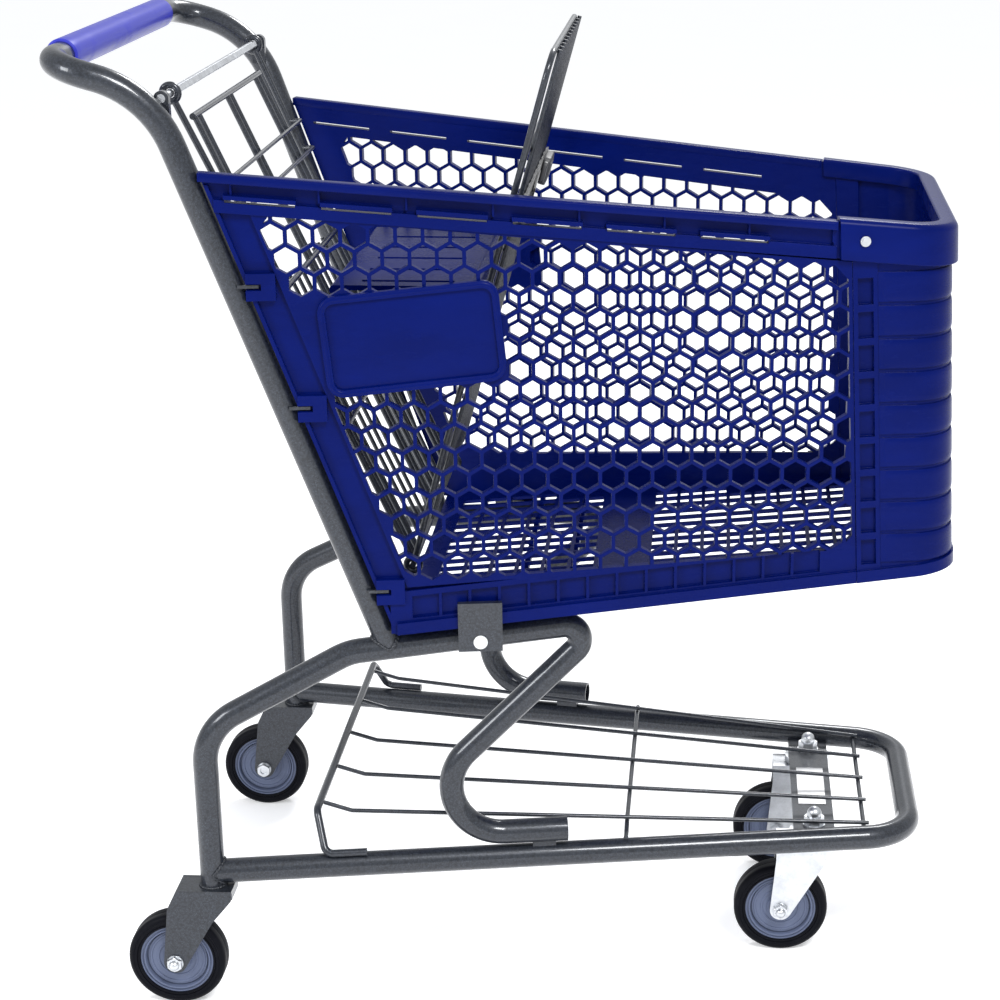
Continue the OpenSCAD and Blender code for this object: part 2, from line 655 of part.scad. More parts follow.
module side_panel_right() from_axle() color(blue) difference() {
    union() {
        wall_plate(wall_t - skin_t, wall_t) panel_outline();
        wall_plate(0, wall_t) {
            window_frame();
            rear_rib();
            base_strip(1, band_h, rear_base_x(-4), panel_end);
        }
        wall_plate(-flange_out, wall_t) base_strip(0, flange_h, rear_base_x(2), panel_end);
        wall_plate(-lip_out, wall_t) rim_strip(0, lip_h, rear_rim_x(0), cap_start_x - seam);
        wall_plate(0, wall_t) rim_strip(0.4, window_top - 1.4, cap_start_x - 3, panel_end);
        wall_plate(-2, wall_t) rim_strip(24, window_top - 1, rear_rim_x(13), cap_start_x - seam);
        for (x = [bar_from_x + bar_len / 2:bar_pitch:join_x - bar_len / 2])
            wall_plate(-lip_out + 1, wall_t) rim_strip(19, 23, x - bar_len / 2, x + bar_len / 2);
        for (x = [bar_from_x + 6:rib_pitch:join_x - 12])
            wall_plate(0, wall_t) rim_strip(lip_h - 1, 21, x, x + 2);
        wall_plate(-pad_out, wall_t) pad_outline(0);
        for (z = clip_heights) wall_box(rear_edge_x(z) + clip_w / 2 - 1, z, clip_w, clip_h, -clip_out, wall_t);
    }
    honeycomb();
    wall_plate(-pad_out - 1, -pad_face) pad_outline(pad_rim);
    for (x = [bar_from_x + bar_len / 2:bar_pitch:join_x - bar_len / 2])
        wall_plate(-lip_out - 2, wall_t + 1) rim_strip(23.5, 26, x - bar_len / 2 + 1, x + bar_len / 2 - 1);
    for (x = [rear_base_x(16):pocket_pitch:join_x - pocket_pitch])
        wall_plate(-1, wall_t - skin_t) base_strip(flange_h + 3, band_h - 6, x + 1.5, x + pocket_pitch - 1.5);
    for (z = clip_heights) wall_box(rear_edge_x(z) + 6, z, 15, 6, -clip_out - 1, wall_t - skin_t);
    upright_line();
    ahead(join_x);
}

// Full-depth frame round the window
module window_frame() polygon([for (i = [0:3])
    let (a = window_corners[i], away = unit(unit(a - window_corners[(i + 1) % 4]) + unit(a - window_corners[(i + 3) % 4])))
    wall_pt(a.x + away.x * 5, a.y + away.y * 5)]);

// Rib along the slanted rear edge
module rear_rib() {
    top = rim_rear_z - 12;
    polygon([wall_pt(rear_base_x(0), rear_base_z(0)), wall_pt(rear_base_x(4), rear_base_z(0)),
        wall_pt(rear_edge_x(top) + 4, top), wall_pt(rear_edge_x(top), top)]);
}

// Wedge of the cart's side view between the heights lo and hi, from x0 to x1, over the full width
module slab(x0, x1, lo, hi) translate([0, far / 2, 0]) rotate([90, 0, 0]) linear_extrude(far)
    polygon([[x0, lo[0]], [x1, lo[1]], [x1, hi[1]], [x0, hi[0]]]);
module rim_slab(top, bottom, x0, x1) slab(x0, x1, [rim_z(x0) - bottom, rim_z(x1) - bottom],
    [rim_z(x0) - top, rim_z(x1) - top]);
module base_slab(bottom, top, x0, x1) slab(x0, x1, [base_z(x0) + bottom, base_z(x1) + bottom],
    [base_z(x0) + top, base_z(x1) + top]);

// Plan of the basket, moved inwards by o: straight tapering sides and round front corners
module plan(o, x0) {
    r = corner_r;
    front = basket_front_x - o;
    c = [basket_front_x - r, wall_half(basket_front_x - r) - r / cos(wall_angle)];
    n = [sin(wall_angle), cos(wall_angle)];
    tip = c + n * (r - o);
    rear = [x0, wall_half(x0) - o / cos(wall_angle)];
    in = bend_slim;
    polygon([rear - [0, in], tip - n * in, c, [front - in, c.y], [front - in, -c.y], [c.x, -c.y],
        [tip.x - n.x * in, n.y * in - tip.y], [rear.x, in - rear.y]]);
    for (s = [-1, 1]) translate([c.x, s * c.y]) circle(r = r - o, $fn = 96);
}

// Wall that follows the plan between the offsets o0 and o1, ahead of x0
module front_wall(o0, o1, x0) leaning() linear_extrude(far / 2) difference() {
    plan(o0, x0 - 20);
    plan(o1, x0 - 21);
}

front_t = 4;
band_out = 1.5;
cap_h = 36;
front_rear_x = join_x + seam;
post_w = 24;                                             // pocketed strip behind the bands
groove_h = 3.5;
bands_low = base_z(basket_front_x) + flange_h + 1;
bands_high = rim_z(basket_front_x) - cap_h + 1;
bands_pitch = (bands_high - bands_low) / front_bands;
front_end = basket_front_x + far / 10;

module front_panel() from_axle() color(blue) intersection() {
    ahead(front_rear_x);
    front_shell();
}

front_start = front_rear_x - 20;                         // before the leaning end is cut
module front_shell() difference() {
    union() {
        intersection() {
            front_wall(0, front_t, front_rear_x);
            slab(front_start, front_end, [base_z(front_start), base_z(front_end)],
                [rim_z(front_start) - seam, rim_z(front_end) - seam]);
        }
        intersection() {
            front_wall(-flange_out, front_t - 1, front_rear_x);
            base_slab(0, flange_h, front_start, front_end);
        }
        intersection() {
            front_wall(-1, wall_t, front_rear_x);
            base_slab(0, far, front_start, front_end);
            rim_slab(seam, far, front_start, front_end);
            leaning() translate([front_start, -far / 2, -far / 4]) cube([post_w + 20, far, far]);
        }
        for (i = [0:front_bands - 1]) intersection() {
            front_wall(-band_out, front_t - 1, front_rear_x + post_w);
            translate([0, 0, bands_low + i * bands_pitch])
                translate([0, -far / 2, 0]) cube([far, far, bands_pitch - groove_h]);
            base_slab(flange_h + groove_h, far, front_start, front_end);
            ahead(front_rear_x + post_w);
        }
    }
    for (i = [0:front_bands]) for (s = [0, 1]) mirror([0, s, 0]) leaning()
        wall_box(front_rear_x + post_w / 2, bands_low + (i - 0.5) * bands_pitch - groove_h / 2,
            post_w - 9, bands_pitch - 7, -3, wall_t - skin_t);
    rivet_line(3);
    left() rivet_line(3);
}

cap_gap = 2.6;                                           // cap's skirt, outside the wall
cap_rear_x = join_x - cap_lap;                           // rear end of the cap, at the middle height
cap_start = cap_rear_x - 20;
module front_cap() from_axle() color(blue) difference() {
    intersection() {
        ahead(cap_rear_x);
        cap_shell();
    }
    rivet_line(2.6);
    left() rivet_line(2.6);
}
module cap_shell() {
    intersection() {
        front_wall(-cap_out, -cap_gap, cap_rear_x);
        rim_slab(-3, cap_h, cap_start, front_end);
    }
    intersection() {
        front_wall(-cap_out, wall_t + 3, cap_rear_x);
        rim_slab(-3, -seam, cap_start, front_end);
    }
    intersection() {
        front_wall(wall_t + gap, wall_t + 3, cap_rear_x);
        rim_slab(-3, 16, cap_start, front_end);
    }
}

rivet_x = join_x + 3;
rivet_drop = 16;
// Line of the rivet that holds the cap to the right-hand rim
module rivet_line(r) on_wall() translate([along(rivet_x), -20, rim_z(rivet_x) - rivet_drop])
    rotate([-90, 0, 0]) cylinder(h = 26, r = r);

module cap_rivets() from_axle() color(zinc) both() on_wall()
    translate([along(rivet_x), -cap_out - seam, rim_z(rivet_x) - rivet_drop]) rotate([-90, 0, 0]) {
        translate([0, 0, -1.6]) cylinder(h = 1.6, r = 5);
        translate([0, 0, -2.6]) cylinder(h = 1.1, r = 3.4);
        cylinder(h = cap_out + 4, r = 2.4);
    }

floor_t = 4;
floor_gap = 2.2;                                         // floor inside the leaning walls
slot_pitch_x = 28;
slot_pitch_y = 24;
slot_rib = 4;
floor_front_x = basket_front_x - front_t - seam;
cross_rib_w = 6;

module bottom_panel() from_axle() color(blue) difference() {
    union() {
        intersection() {
            leaning() translate([0, 0, -far / 4]) linear_extrude(far) plan(wall_t + floor_gap, rear_base_x(-40));
            base_slab(0, floor_t, rear_base_x(0), front_end);
        }
        for (x = [rear_base_x(12):50:turn_x - 20])
            if (abs(x + cross_rib_w / 2 - bracket_x) > bracket_w / 2 + cross_rib_w) intersection() {
            translate([x, -frame_half(x) - tube_r / 2, 0]) cube([cross_rib_w, 2 * frame_half(x) + tube_r, far / 2]);
            base_slab(-base_lift + seam, 1, x - 1, x + cross_rib_w + 1);
        }
    }
    for (x = [rear_base_x(22):slot_pitch_x:floor_front_x - slot_pitch_x - 14]) {
        rows = floor((wall_half(x + slot_pitch_x) - wall_t - 14) / slot_pitch_y);
        if (abs(x - turn_x) > slot_pitch_x) for (j = [-rows:rows - 1])
            translate([x + slot_rib / 2, j * slot_pitch_y + slot_rib / 2, base_z(x) - 1])
                cube([slot_pitch_x - slot_rib, slot_pitch_y - slot_rib, floor_t + 6]);
    }
}

// ---- basket fixings ----

module upright_line() straight(upright_foot, upright_turn, tube_d + 2 * seam, 0);

module panel_hooks() from_axle() color(zinc) both() difference() {
    for (z = clip_heights) wall_box(rear_edge_x(z) + 1, z, 20, 3, 0.5, 3.5);
    upright_line();
}

bracket_x = 321;
bracket_w = 44;
bracket_t = 3;
bracket_low = 6;                                         // below the chassis tube's middle
bracket_high = 25;                                       // above the basket's base
bracket_d = -flange_out - seam - bracket_t;              // depth of the bracket's outer face
bracket_rivet_z = tube_shelf_z(bracket_x) + 4;
bracket_rivet_r = 4;

module basket_bracket_right() from_axle() color(steel) difference() {
    low = tube_shelf_z(bracket_x) - bracket_low;
    high = base_z(bracket_x) + bracket_high;
    web_z = tube_shelf_z(bracket_x) + tube_r + 1;
    union() {
        wall_box(bracket_x, (low + high) / 2, bracket_w, high - low, bracket_d, bracket_d + bracket_t);
        wall_box(bracket_x, web_z, bracket_w, 6, bracket_d, wall_t + 16);
        wall_box(bracket_x, high - bracket_t / 2, bracket_w, bracket_t, bracket_d, -seam);
    }
    shelf_line();
    on_wall() translate([along(bracket_x), -30, bracket_rivet_z]) rotate([-90, 0, 0])
        cylinder(h = 60, r = bracket_rivet_r + seam);
}

module bracket_rivets() from_axle() color("white") both() on_wall()
    translate([along(bracket_x), bracket_d - seam, bracket_rivet_z]) rotate([-90, 0, 0]) {
        translate([0, 0, -1.5]) cylinder(h = 1.5, r = 7);
        cylinder(h = 8, r = bracket_rivet_r);
    }

// ---- rear gate ----

pin_d = 8;
pin_r = pin_d / 2;
frame_r = frame_wire_d / 2;
wire_r = wire_d / 2;
weld_sink = 0.4;                                         // how far welded wires sink together
lug_w = 8;
lug_r = 7;
lug_y = frame_half(gate_x) - tube_r;                     // middle of a lug

// A point of the gate: y across, v down from its hinge, n forward of its plane
function gate_pt(y, v, n) = [gate_x + v * sin(gate_lean) + n * cos(gate_lean), y,
    gate_z - v * cos(gate_lean) + n * sin(gate_lean)];
seat_pivot = gate_pt(0, gate_len, 0);
// A point of the seat's back: y across, v up from its hinge, n forward of its plane
function seat_pt(y, v, n) = seat_pivot + [v * sin(seat_lean) + n * cos(seat_lean), y,
    v * cos(seat_lean) - n * sin(seat_lean)];

// Closed wire ring round the Y direction, at p
module ring(p, hole_r, d) translate(p) rotate([90, 0, 0]) rotate_extrude()
    translate([hole_r + d / 2, 0]) circle(d = d, $fn = 32);

module gate_hinge_bar() from_axle() color("silver") {
    translate([gate_x, 0, gate_z]) {
        rotate([90, 0, 0]) cylinder(h = 2 * lug_y + lug_w, r = pin_r, center = true);
        rotate([0, 90 - gate_lean, 0]) cube([pin_d - 3, 2 * (gate_top_half_w - 12), 14], center = true);
    }
}

module hinge_lugs() from_axle() color(steel) both() difference() {
    union() {
        translate([gate_x, -lug_y + lug_w / 2, gate_z]) rotate([90, 0, 0]) cylinder(h = lug_w, r = lug_r);
        translate([gate_x - lug_r, -lug_y - lug_w / 2, gate_z - 24]) cube([2 * lug_r, lug_w, 24]);
    }
    translate([gate_x, 0, gate_z]) rotate([90, 0, 0]) cylinder(h = far, r = pin_r + seam, center = true);
    bent([upright_foot, upright_turn, bar_end, [bar_end.x, 0, bar_end.z]],
        [upright_bend_r, bar_bend_r], tube_d + 2 * seam);
}

upper_bar_v = 29;
shelf_bar_v = 216;
mid_bar_v = 360;
stay_bars_v = [94, 126];
foot_bar_out = 11;                                       // foot bar, beyond the side wires
stay_n = 14;                                             // stand-off of the stays
// Thick upright wires beside the leg openings, as distances from the middle
leg_wires_y = [8, gate_half_w - 33, gate_half_w - 14];
// Half width of the gate at the distance v from its hinge
function gate_half(v) = v > mid_bar_v ? gate_half_w
    : gate_top_half_w + (gate_half_w - gate_top_half_w) * v / mid_bar_v;

module gate_bar(v, half, d) straight(gate_pt(-half, v, 0), gate_pt(half, v, 0), d, 0);

module gate_frame() from_axle() color(steel) {
    top_v = pin_r + gap + frame_r;
    for (s = [-1, 1]) {
        ring(gate_pt(s * gate_top_half_w, 0, 0), pin_r + gap, frame_wire_d);
        bent([gate_pt(s * gate_half(top_v), top_v, 0), gate_pt(s * gate_half_w, mid_bar_v, 0),
            gate_pt(s * gate_half_w, gate_len, 0)], [80], frame_wire_d);
        for (y = leg_wires_y)
            straight(gate_pt(s * y, upper_bar_v, 0), gate_pt(s * y, gate_len, 0), frame_wire_d - 1, 0);
    }
    gate_bar(upper_bar_v, gate_half_w - 8, frame_wire_d);
    for (v = [shelf_bar_v, mid_bar_v]) gate_bar(v, gate_half(v), frame_wire_d);
    gate_bar(gate_len, gate_half_w + foot_bar_out, frame_wire_d);
    for (v = stay_bars_v) bent([gate_pt(-gate_half(v), v - 4, 0), gate_pt(-gate_half(v) + 3, v, stay_n),
        gate_pt(gate_half(v) - 3, v, stay_n), gate_pt(gate_half(v), v - 4, 0)], [6, 6], wire_d);
}

module gate_wires() from_axle() color(steel)
    for (y = [wire_pitch:wire_pitch:gate_half_w - 34]) for (s = [-1, 1])
        straight(gate_pt(s * y, shelf_bar_v - 4, -frame_r - wire_r - seam),
            gate_pt(s * y, gate_len + 3, -frame_r - wire_r - seam), wire_d, 0);

// ---- child seat ----

seat_half_w = gate_half_w + frame_wire_d + 0.8;
seat_round = 24;
low_bar_v = 86;
seat_bars_v = [low_bar_v, 190, 330, 430];

module seat_back_frame() from_axle() color(steel) {
    ring_r = frame_r + gap;
    for (s = [-1, 1]) ring(seat_pt(s * seat_half_w, 0, 0), ring_r, frame_wire_d);
    bent([seat_pt(-seat_half_w, ring_r + frame_r, 0), seat_pt(-seat_half_w, seat_len, 0),
        seat_pt(seat_half_w, seat_len, 0), seat_pt(seat_half_w, ring_r + frame_r, 0)],
        [seat_round, seat_round], frame_wire_d);
    for (v = seat_bars_v)
        straight(seat_pt(-seat_half_w, v, 0), seat_pt(seat_half_w, v, 0), frame_wire_d, 0);
}

module seat_back_wires() from_axle() color(steel)
    for (y = [wire_pitch / 2:wire_pitch:seat_half_w - 12]) for (s = [-1, 1])
        straight(seat_pt(s * y, 44, frame_r + wire_r + seam),
            seat_pt(s * y, seat_len + 3, frame_r + wire_r + seam), wire_d, 0);

flap_t = 5;
flap_half_w = 150;
rod_d = 6;
rod_n = -12;                                             // flap's rod, behind the back's plane
flap_hole_r = rod_d / 2 + gap;
knuckle_r = 7;
module flap_rod() from_axle() color(zinc) {
    side = seat_half_w - frame_r - seam;
    inner = side - 22;
    bent([seat_pt(-side, flap_height, 0), seat_pt(-side + 8, flap_height, 0),
        seat_pt(-inner, flap_height, rod_n), seat_pt(inner, flap_height, rod_n),
        seat_pt(side - 8, flap_height, 0), seat_pt(side, flap_height, 0)], [7, 7, 7, 7], rod_d);
}

flap_pivot = seat_pt(0, flap_height, rod_n);
module seat_flap() from_axle() color(blue) translate(flap_pivot) difference() {
    union() {
        rotate([90, 0, 0]) cylinder(h = 2 * flap_half_w, r = knuckle_r, center = true);
        translate([-flap_len, -flap_half_w, -flap_t / 2]) cube([flap_len, 2 * flap_half_w, flap_t]);
        translate([-flap_len, 0, -flap_t / 2]) rotate([90, 0, 0])
            cylinder(h = 2 * flap_half_w, r = flap_t, center = true);
    }
    rotate([90, 0, 0]) cylinder(h = far, r = flap_hole_r, center = true);
    for (y = [-2:2]) translate([-flap_len + 24, y * 56 - 20, -flap_t]) cube([flap_len - 48, 8, 2 * flap_t]);
}

belt_v = 372;
belt_w = 25;
belt_t = 2.4;
belt_n = frame_r + wire_d + seam + 0.3;
// Places a child's X along the belt, Y up the seat's back and Z forward
module on_back(y, v, n) translate(seat_pt(y, v, n)) rotate([0, seat_lean, 0]) rotate([90, 0, 90]) children();

module belt_strap() from_axle() color([0.05, 0.05, 0.05]) on_back(0, belt_v, belt_n)
    translate([-150, -belt_w / 2, 0]) cube([300, belt_w, belt_t]);

module belt_buckle() from_axle() color("dimgray") on_back(96, belt_v, belt_n + belt_t + seam) {
    translate([-26, -16, 0]) cube([52, 32, 9]);
    translate([-34, -12, 2]) cube([68, 24, 5]);
}

// ---- left-hand pieces ----

module chassis_tube_left() left() chassis_tube_right();
module rear_fork_left() left() rear_fork_right();
module rear_axle_left() left() rear_axle_right();
module kingpin_left() left() kingpin_right();
module swivel_race_left() left() swivel_race_right();
module side_panel_left() left() side_panel_right();
module basket_bracket_left() left() basket_bracket_right();
module rear_tyre_left() left() rear_tyre_right();
module rear_hub_left() left() rear_hub_right();
module rear_bearings_left() left() rear_bearings_right();
module caster_fork_left() left() caster_fork_right();
module caster_axle_left() left() caster_axle_right();
module front_tyre_left() left() front_tyre_right();
module front_hub_left() left() front_hub_right();
module front_bearings_left() left() front_bearings_right();

handle_tube();
handle_grip();
chassis_tube_right();
chassis_tube_left();
base_frame();
foot_spacers();
rack_hoop();
rack_wires();
rack_cross_wires();
caster_plate();
blank_label();
rear_fork_right();
rear_fork_left();
rear_axle_right();
rear_axle_left();
kingpin_right();
kingpin_left();
swivel_race_right();
swivel_race_left();
side_panel_right();
side_panel_left();
front_panel();
front_cap();
bottom_panel();
cap_rivets();
panel_hooks();
basket_bracket_right();
basket_bracket_left();
bracket_rivets();
gate_hinge_bar();
hinge_lugs();
rear_tyre_right();
rear_hub_right();
rear_bearings_right();
rear_tyre_left();
rear_hub_left();
rear_bearings_left();
caster_fork_right();
caster_axle_right();
caster_fork_left();
caster_axle_left();
front_tyre_right();
front_hub_right();
front_bearings_right();
front_tyre_left();
front_hub_left();
front_bearings_left();
gate_frame();
gate_wires();
seat_back_frame();
seat_back_wires();
belt_strap();
belt_buckle();
seat_flap();
flap_rod();
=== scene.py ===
"""Shopping cart: the looks of a steel and plastic cart, built round its fixed frame of parts."""

import json
import math

import bmesh
import bpy
import numpy as np
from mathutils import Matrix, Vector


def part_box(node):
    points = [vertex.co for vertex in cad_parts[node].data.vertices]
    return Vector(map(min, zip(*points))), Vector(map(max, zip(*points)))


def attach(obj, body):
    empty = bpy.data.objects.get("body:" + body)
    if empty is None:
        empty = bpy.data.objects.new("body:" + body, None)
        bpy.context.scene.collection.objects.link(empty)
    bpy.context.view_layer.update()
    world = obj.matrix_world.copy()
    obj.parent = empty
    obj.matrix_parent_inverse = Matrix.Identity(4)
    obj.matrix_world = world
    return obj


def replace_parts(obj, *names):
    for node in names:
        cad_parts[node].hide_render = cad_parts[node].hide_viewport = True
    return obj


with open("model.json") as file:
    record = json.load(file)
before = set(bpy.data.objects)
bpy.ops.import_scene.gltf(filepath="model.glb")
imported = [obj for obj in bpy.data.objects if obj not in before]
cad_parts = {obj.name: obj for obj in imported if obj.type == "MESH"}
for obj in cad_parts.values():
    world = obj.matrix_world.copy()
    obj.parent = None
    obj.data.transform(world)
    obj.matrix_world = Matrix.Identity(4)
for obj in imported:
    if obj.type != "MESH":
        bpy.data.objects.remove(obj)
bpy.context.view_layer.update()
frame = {"nodes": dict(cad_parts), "record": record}

bl_info = {
    "name": "Shopping cart finish",
    "version": (1, 0, 0),
    "blender": (4, 5, 0),
    "location": "View3D > Sidebar > Cart",
    "description": "Makes the wheels, grip, rim, cap, sign pads, welds, belt and finishes of a cart",
    "category": "Object",
}

MM = 0.001


def centre_of(node):
    """Middle of a frame part's box, in metres."""
    low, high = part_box(node)
    return np.array((low + high) / 2)


AXLE_X = float(centre_of("rear_tyre_right")[0])          # rear axle, along the cart
WHEELS = {"rear_right": ("rear_wheel_right", "root"), "rear_left": ("rear_wheel_left", "root"),
          "front_right": ("front_wheel_right", "front_caster_right"),
          "front_left": ("front_wheel_left", "front_caster_left")}


# ---- sizes and colours that a user would change ----

def length(name, description, default):
    return bpy.props.FloatProperty(name=name, description=description, default=default,
                                   min=0.0, max=2.0, precision=4, unit="LENGTH")


def angle(name, description, degrees):
    return bpy.props.FloatProperty(name=name, description=description,
                                   default=math.radians(degrees), unit="ROTATION", subtype="ANGLE")


def colour(name, description, default):
    return bpy.props.FloatVectorProperty(name=name, description=description, default=default,
                                         size=3, min=0.0, max=1.0, subtype="COLOR")


class CartSizes(bpy.types.PropertyGroup):
    """Sizes of the pieces that this add-on makes; lengths along the cart are from the rear axle."""
    wheel_radius: length("Wheel radius", "Outer radius of the wheels",
                         float(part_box("rear_tyre_right")[1].z) / 2)
    tyre_width: length("Tyre width", "Width of the tyre",
                       float(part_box("rear_tyre_right")[1].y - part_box("rear_tyre_right")[0].y))
    hub_radius: length("Hub radius", "Radius of the hub, under the tyre",
                       float(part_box("rear_hub_right")[1].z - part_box("rear_hub_right")[0].z) / 2)
    hub_width: length("Hub width", "Width of the hub",
                      float(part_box("rear_hub_right")[1].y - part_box("rear_hub_right")[0].y))
    tube_radius: length("Tube radius", "Outer radius of the chassis tubes", 0.0127)
    wall_angle: angle("Wall angle", "Angle at which each basket wall closes in", 7.26)
    wall_half: length("Wall distance", "Basket wall from the middle, at the rear axle", 0.2624)
    wall_depth: length("Wall depth", "Depth of the basket's walls", 0.008)
    rim_slope: angle("Rim slope", "Slope of the basket's rim, down towards the front", 5.2)
    rim_rear_x: length("Rim rear end", "Place of the rim's rear end along the cart", 0.072)
    rim_rear_z: length("Rim height", "Height of the rim's rear end", 0.869)
    front_x: length("Basket front", "Place of the basket's front face along the cart", 0.784)
    front_lean: angle("Front lean", "Backward lean of the basket's front", 2.8)
    lean_z: length("Lean height", "Height about which the front leans", 0.63187)
    corner_radius: length("Corner radius", "Radius of the basket's front corners", 0.046)
    cap_start: length("Cap rear end", "Place where the front cap starts", 0.675)
    bead_end: length("Rim bead end", "Place where the rim's bead meets the cap", 0.6636)
    bands: bpy.props.IntProperty(name="Front bands", description="Moulded bands up the front",
                                 default=9, min=1, max=20)


class CartColours(bpy.types.PropertyGroup):
    """Colours of the finishes."""
    paint: colour("Paint", "Hammered paint on tubes and wires", (0.024, 0.028, 0.037))
    plastic: colour("Basket", "Moulded plastic of the basket", (0.0006, 0.0055, 0.092))
    grip: colour("Grip", "Plastic of the grip", (0.036, 0.042, 0.40))
    tyre: colour("Tyre", "Rubber of the tyres", (0.003, 0.0034, 0.006))
    hub: colour("Hub", "Plastic of the hubs", (0.105, 0.128, 0.205))
    zinc: colour("Zinc", "Zinc plate on bolts and casters", (0.72, 0.74, 0.77))
    nylon: colour("Nylon", "White nylon rivets", (0.80, 0.80, 0.78))
    webbing: colour("Webbing", "Woven belt of the child seat", (0.012, 0.012, 0.014))
    floor: colour("Floor", "Floor under the cart", (0.90, 0.90, 0.91))


# ---- shader arithmetic ----

class Wire:
    """A shader socket that takes part in Python arithmetic: each operator adds its Math node."""

    def __init__(self, shader, socket):
        self.shader, self.socket = shader, socket

    def maths(self, operation, *values):
        made = self.shader.node("ShaderNodeMath", dict(enumerate(values)), operation=operation)
        return Wire(self.shader, made.outputs[0])

    def __add__(self, other):
        return self.maths("ADD", self, other)

    def __sub__(self, other):
        return self.maths("SUBTRACT", self, other)

    def __rsub__(self, other):
        return self.maths("SUBTRACT", other, self)

    def __mul__(self, other):
        return self.maths("MULTIPLY", self, other)

    __radd__, __rmul__ = __add__, __mul__

    def above(self, edge):
        return self.maths("GREATER_THAN", self, edge)

    def clamped(self, low, high):
        """0 below low, 1 above high, and a straight line between them."""
        made = self.shader.node("ShaderNodeMapRange", {0: self, 1: low, 2: high, 3: 0.0, 4: 1.0},
                                clamp=True)
        return Wire(self.shader, made.outputs[0])


class Finish:
    """One material: its nodes are added by the methods, and colour, roughness and bump end it."""

    def __init__(self, name, **constants):
        self.material = bpy.data.materials.new(name)
        self.material.use_nodes = True
        self.tree = self.material.node_tree
        self.shader = self.tree.nodes["Principled BSDF"]
        for socket, value in constants.items():
            self.shader.inputs[socket.replace("_", " ")].default_value = value
        self.place = Wire(self, self.node("ShaderNodeTexCoord").outputs["Object"])

    def feed(self, socket, value):
        if isinstance(value, Wire):
            self.tree.links.new(value.socket, socket)
        elif isinstance(value, (tuple, list)) and socket.type == "RGBA" and len(value) == 3:
            socket.default_value = (*value, 1.0)
        else:
            socket.default_value = value

    def node(self, kind, inputs=None, **settings):
        """Adds a node of a type: its settings first, then the values or links of its sockets."""
        made = self.tree.nodes.new(kind)
        for key, value in settings.items():
            setattr(made, key, value)
        for key, value in (inputs or {}).items():
            self.feed(made.inputs[key], value)
        return made

    def stretched(self, scale, turn=(0.0, 0.0, 0.0)):
        """The place on the piece, turned and scaled for a pattern."""
        made = self.node("ShaderNodeMapping", {"Vector": self.place, "Rotation": turn, "Scale": scale})
        return Wire(self, made.outputs[0])

    def noise(self, scale, detail=3.0, place=None, rough=0.55):
        made = self.node("ShaderNodeTexNoise", {"Vector": place or self.place, "Scale": scale,
                                                "Detail": detail, "Roughness": rough})
        return Wire(self, made.outputs[0])

    def cells(self, scale, place=None, feature="F1", outlet="Distance"):
        made = self.node("ShaderNodeTexVoronoi", {"Vector": place or self.place, "Scale": scale},
                         feature=feature)
        return Wire(self, made.outputs[outlet])

    def wave(self, scale, place):
        made = self.node("ShaderNodeTexWave", {"Vector": place, "Scale": scale})
        return Wire(self, made.outputs["Fac"])

    def axis(self, letter, place=None):
        made = self.node("ShaderNodeSeparateXYZ", {0: place or self.place})
        return Wire(self, made.outputs[letter])

    def mixed(self, share, first, second):
        made = self.node("ShaderNodeMix", {0: share, 6: first, 7: second}, data_type="RGBA")
        return Wire(self, made.outputs[2])

    def end(self, colour_wire, rough, bump=None, depth=0.0, strength=0.0, soft_edge=0.0):
        """Feeds the shader's colour, roughness and normal; soft_edge rounds the edges' light."""
        self.feed(self.shader.inputs["Base Color"], colour_wire)
        self.feed(self.shader.inputs["Roughness"], rough)
        normal = None
        if soft_edge:
            made = self.node("ShaderNodeBevel", {"Radius": soft_edge}, samples=4)
            normal = Wire(self, made.outputs[0])
        if bump is not None:
            inputs = {"Height": bump, "Strength": strength, "Distance": depth}
            if normal is not None:
                inputs["Normal"] = normal
            normal = Wire(self, self.node("ShaderNodeBump", inputs).outputs[0])
        if normal is not None:
            self.feed(self.shader.inputs["Normal"], normal)
        return self.material


def shade(base, factor):
    """A colour made lighter or darker."""
    return tuple(min(1.0, c * factor) for c in base)


def hammered_paint(c):
    """Hammered grey paint: dimples about 2.4 mm across, bright flakes in them that are partly the metal
    flakes' own lighter colour and partly painted glints, a hard gloss.
    """
    f = Finish("hammered_paint", Metallic=0.30, Coat_Weight=0.55, Coat_Roughness=0.07,
               Specular_IOR_Level=0.35)
    dimples = f.cells(420.0, feature="SMOOTH_F1")
    flakes = f.cells(1700.0, outlet="Color")
    flake = f.axis("X", flakes)
    drift = f.noise(45.0, 4.0)
    body = f.mixed((dimples * 1.1).clamped(0.15, 0.75), shade(c.paint, 1.25), shade(c.paint, 0.62))
    # Bright flakes, up to 3.2 times the paint's colour: partly the metal flakes' own lighter colour,
    # partly painted glints.
    bright = flake.above(0.88) * (0.15 + drift * 0.35)
    return f.end(f.mixed(bright, body, shade(c.paint, 3.2)), 0.26 + drift * 0.14,
                 (1.0 - dimples) + flake * 0.10, 0.00022, 0.45)


def moulded_plastic(c):
    """Blue moulded plastic: fine spark grain, faint flow marks and rubbed patches."""
    f = Finish("moulded_plastic", Specular_IOR_Level=0.07)
    flow = f.noise(9.0, 5.0, f.stretched((1.0, 1.0, 2.6)))
    grain = f.noise(2600.0, 2.0)
    rubbed = f.noise(60.0, 6.0, f.stretched((0.5, 0.5, 1.6)), 0.7).clamped(0.56, 0.78)
    body = f.mixed(flow.clamped(0.3, 0.75), shade(c.plastic, 0.86), shade(c.plastic, 1.16))
    return f.end(f.mixed(rubbed * 0.22, body, shade(c.plastic, 1.7)),
                 0.22 + flow * 0.08 + rubbed * 0.12 + grain * 0.03,
                 grain * 0.35 + flow, 0.00012, 0.35, 0.0008)


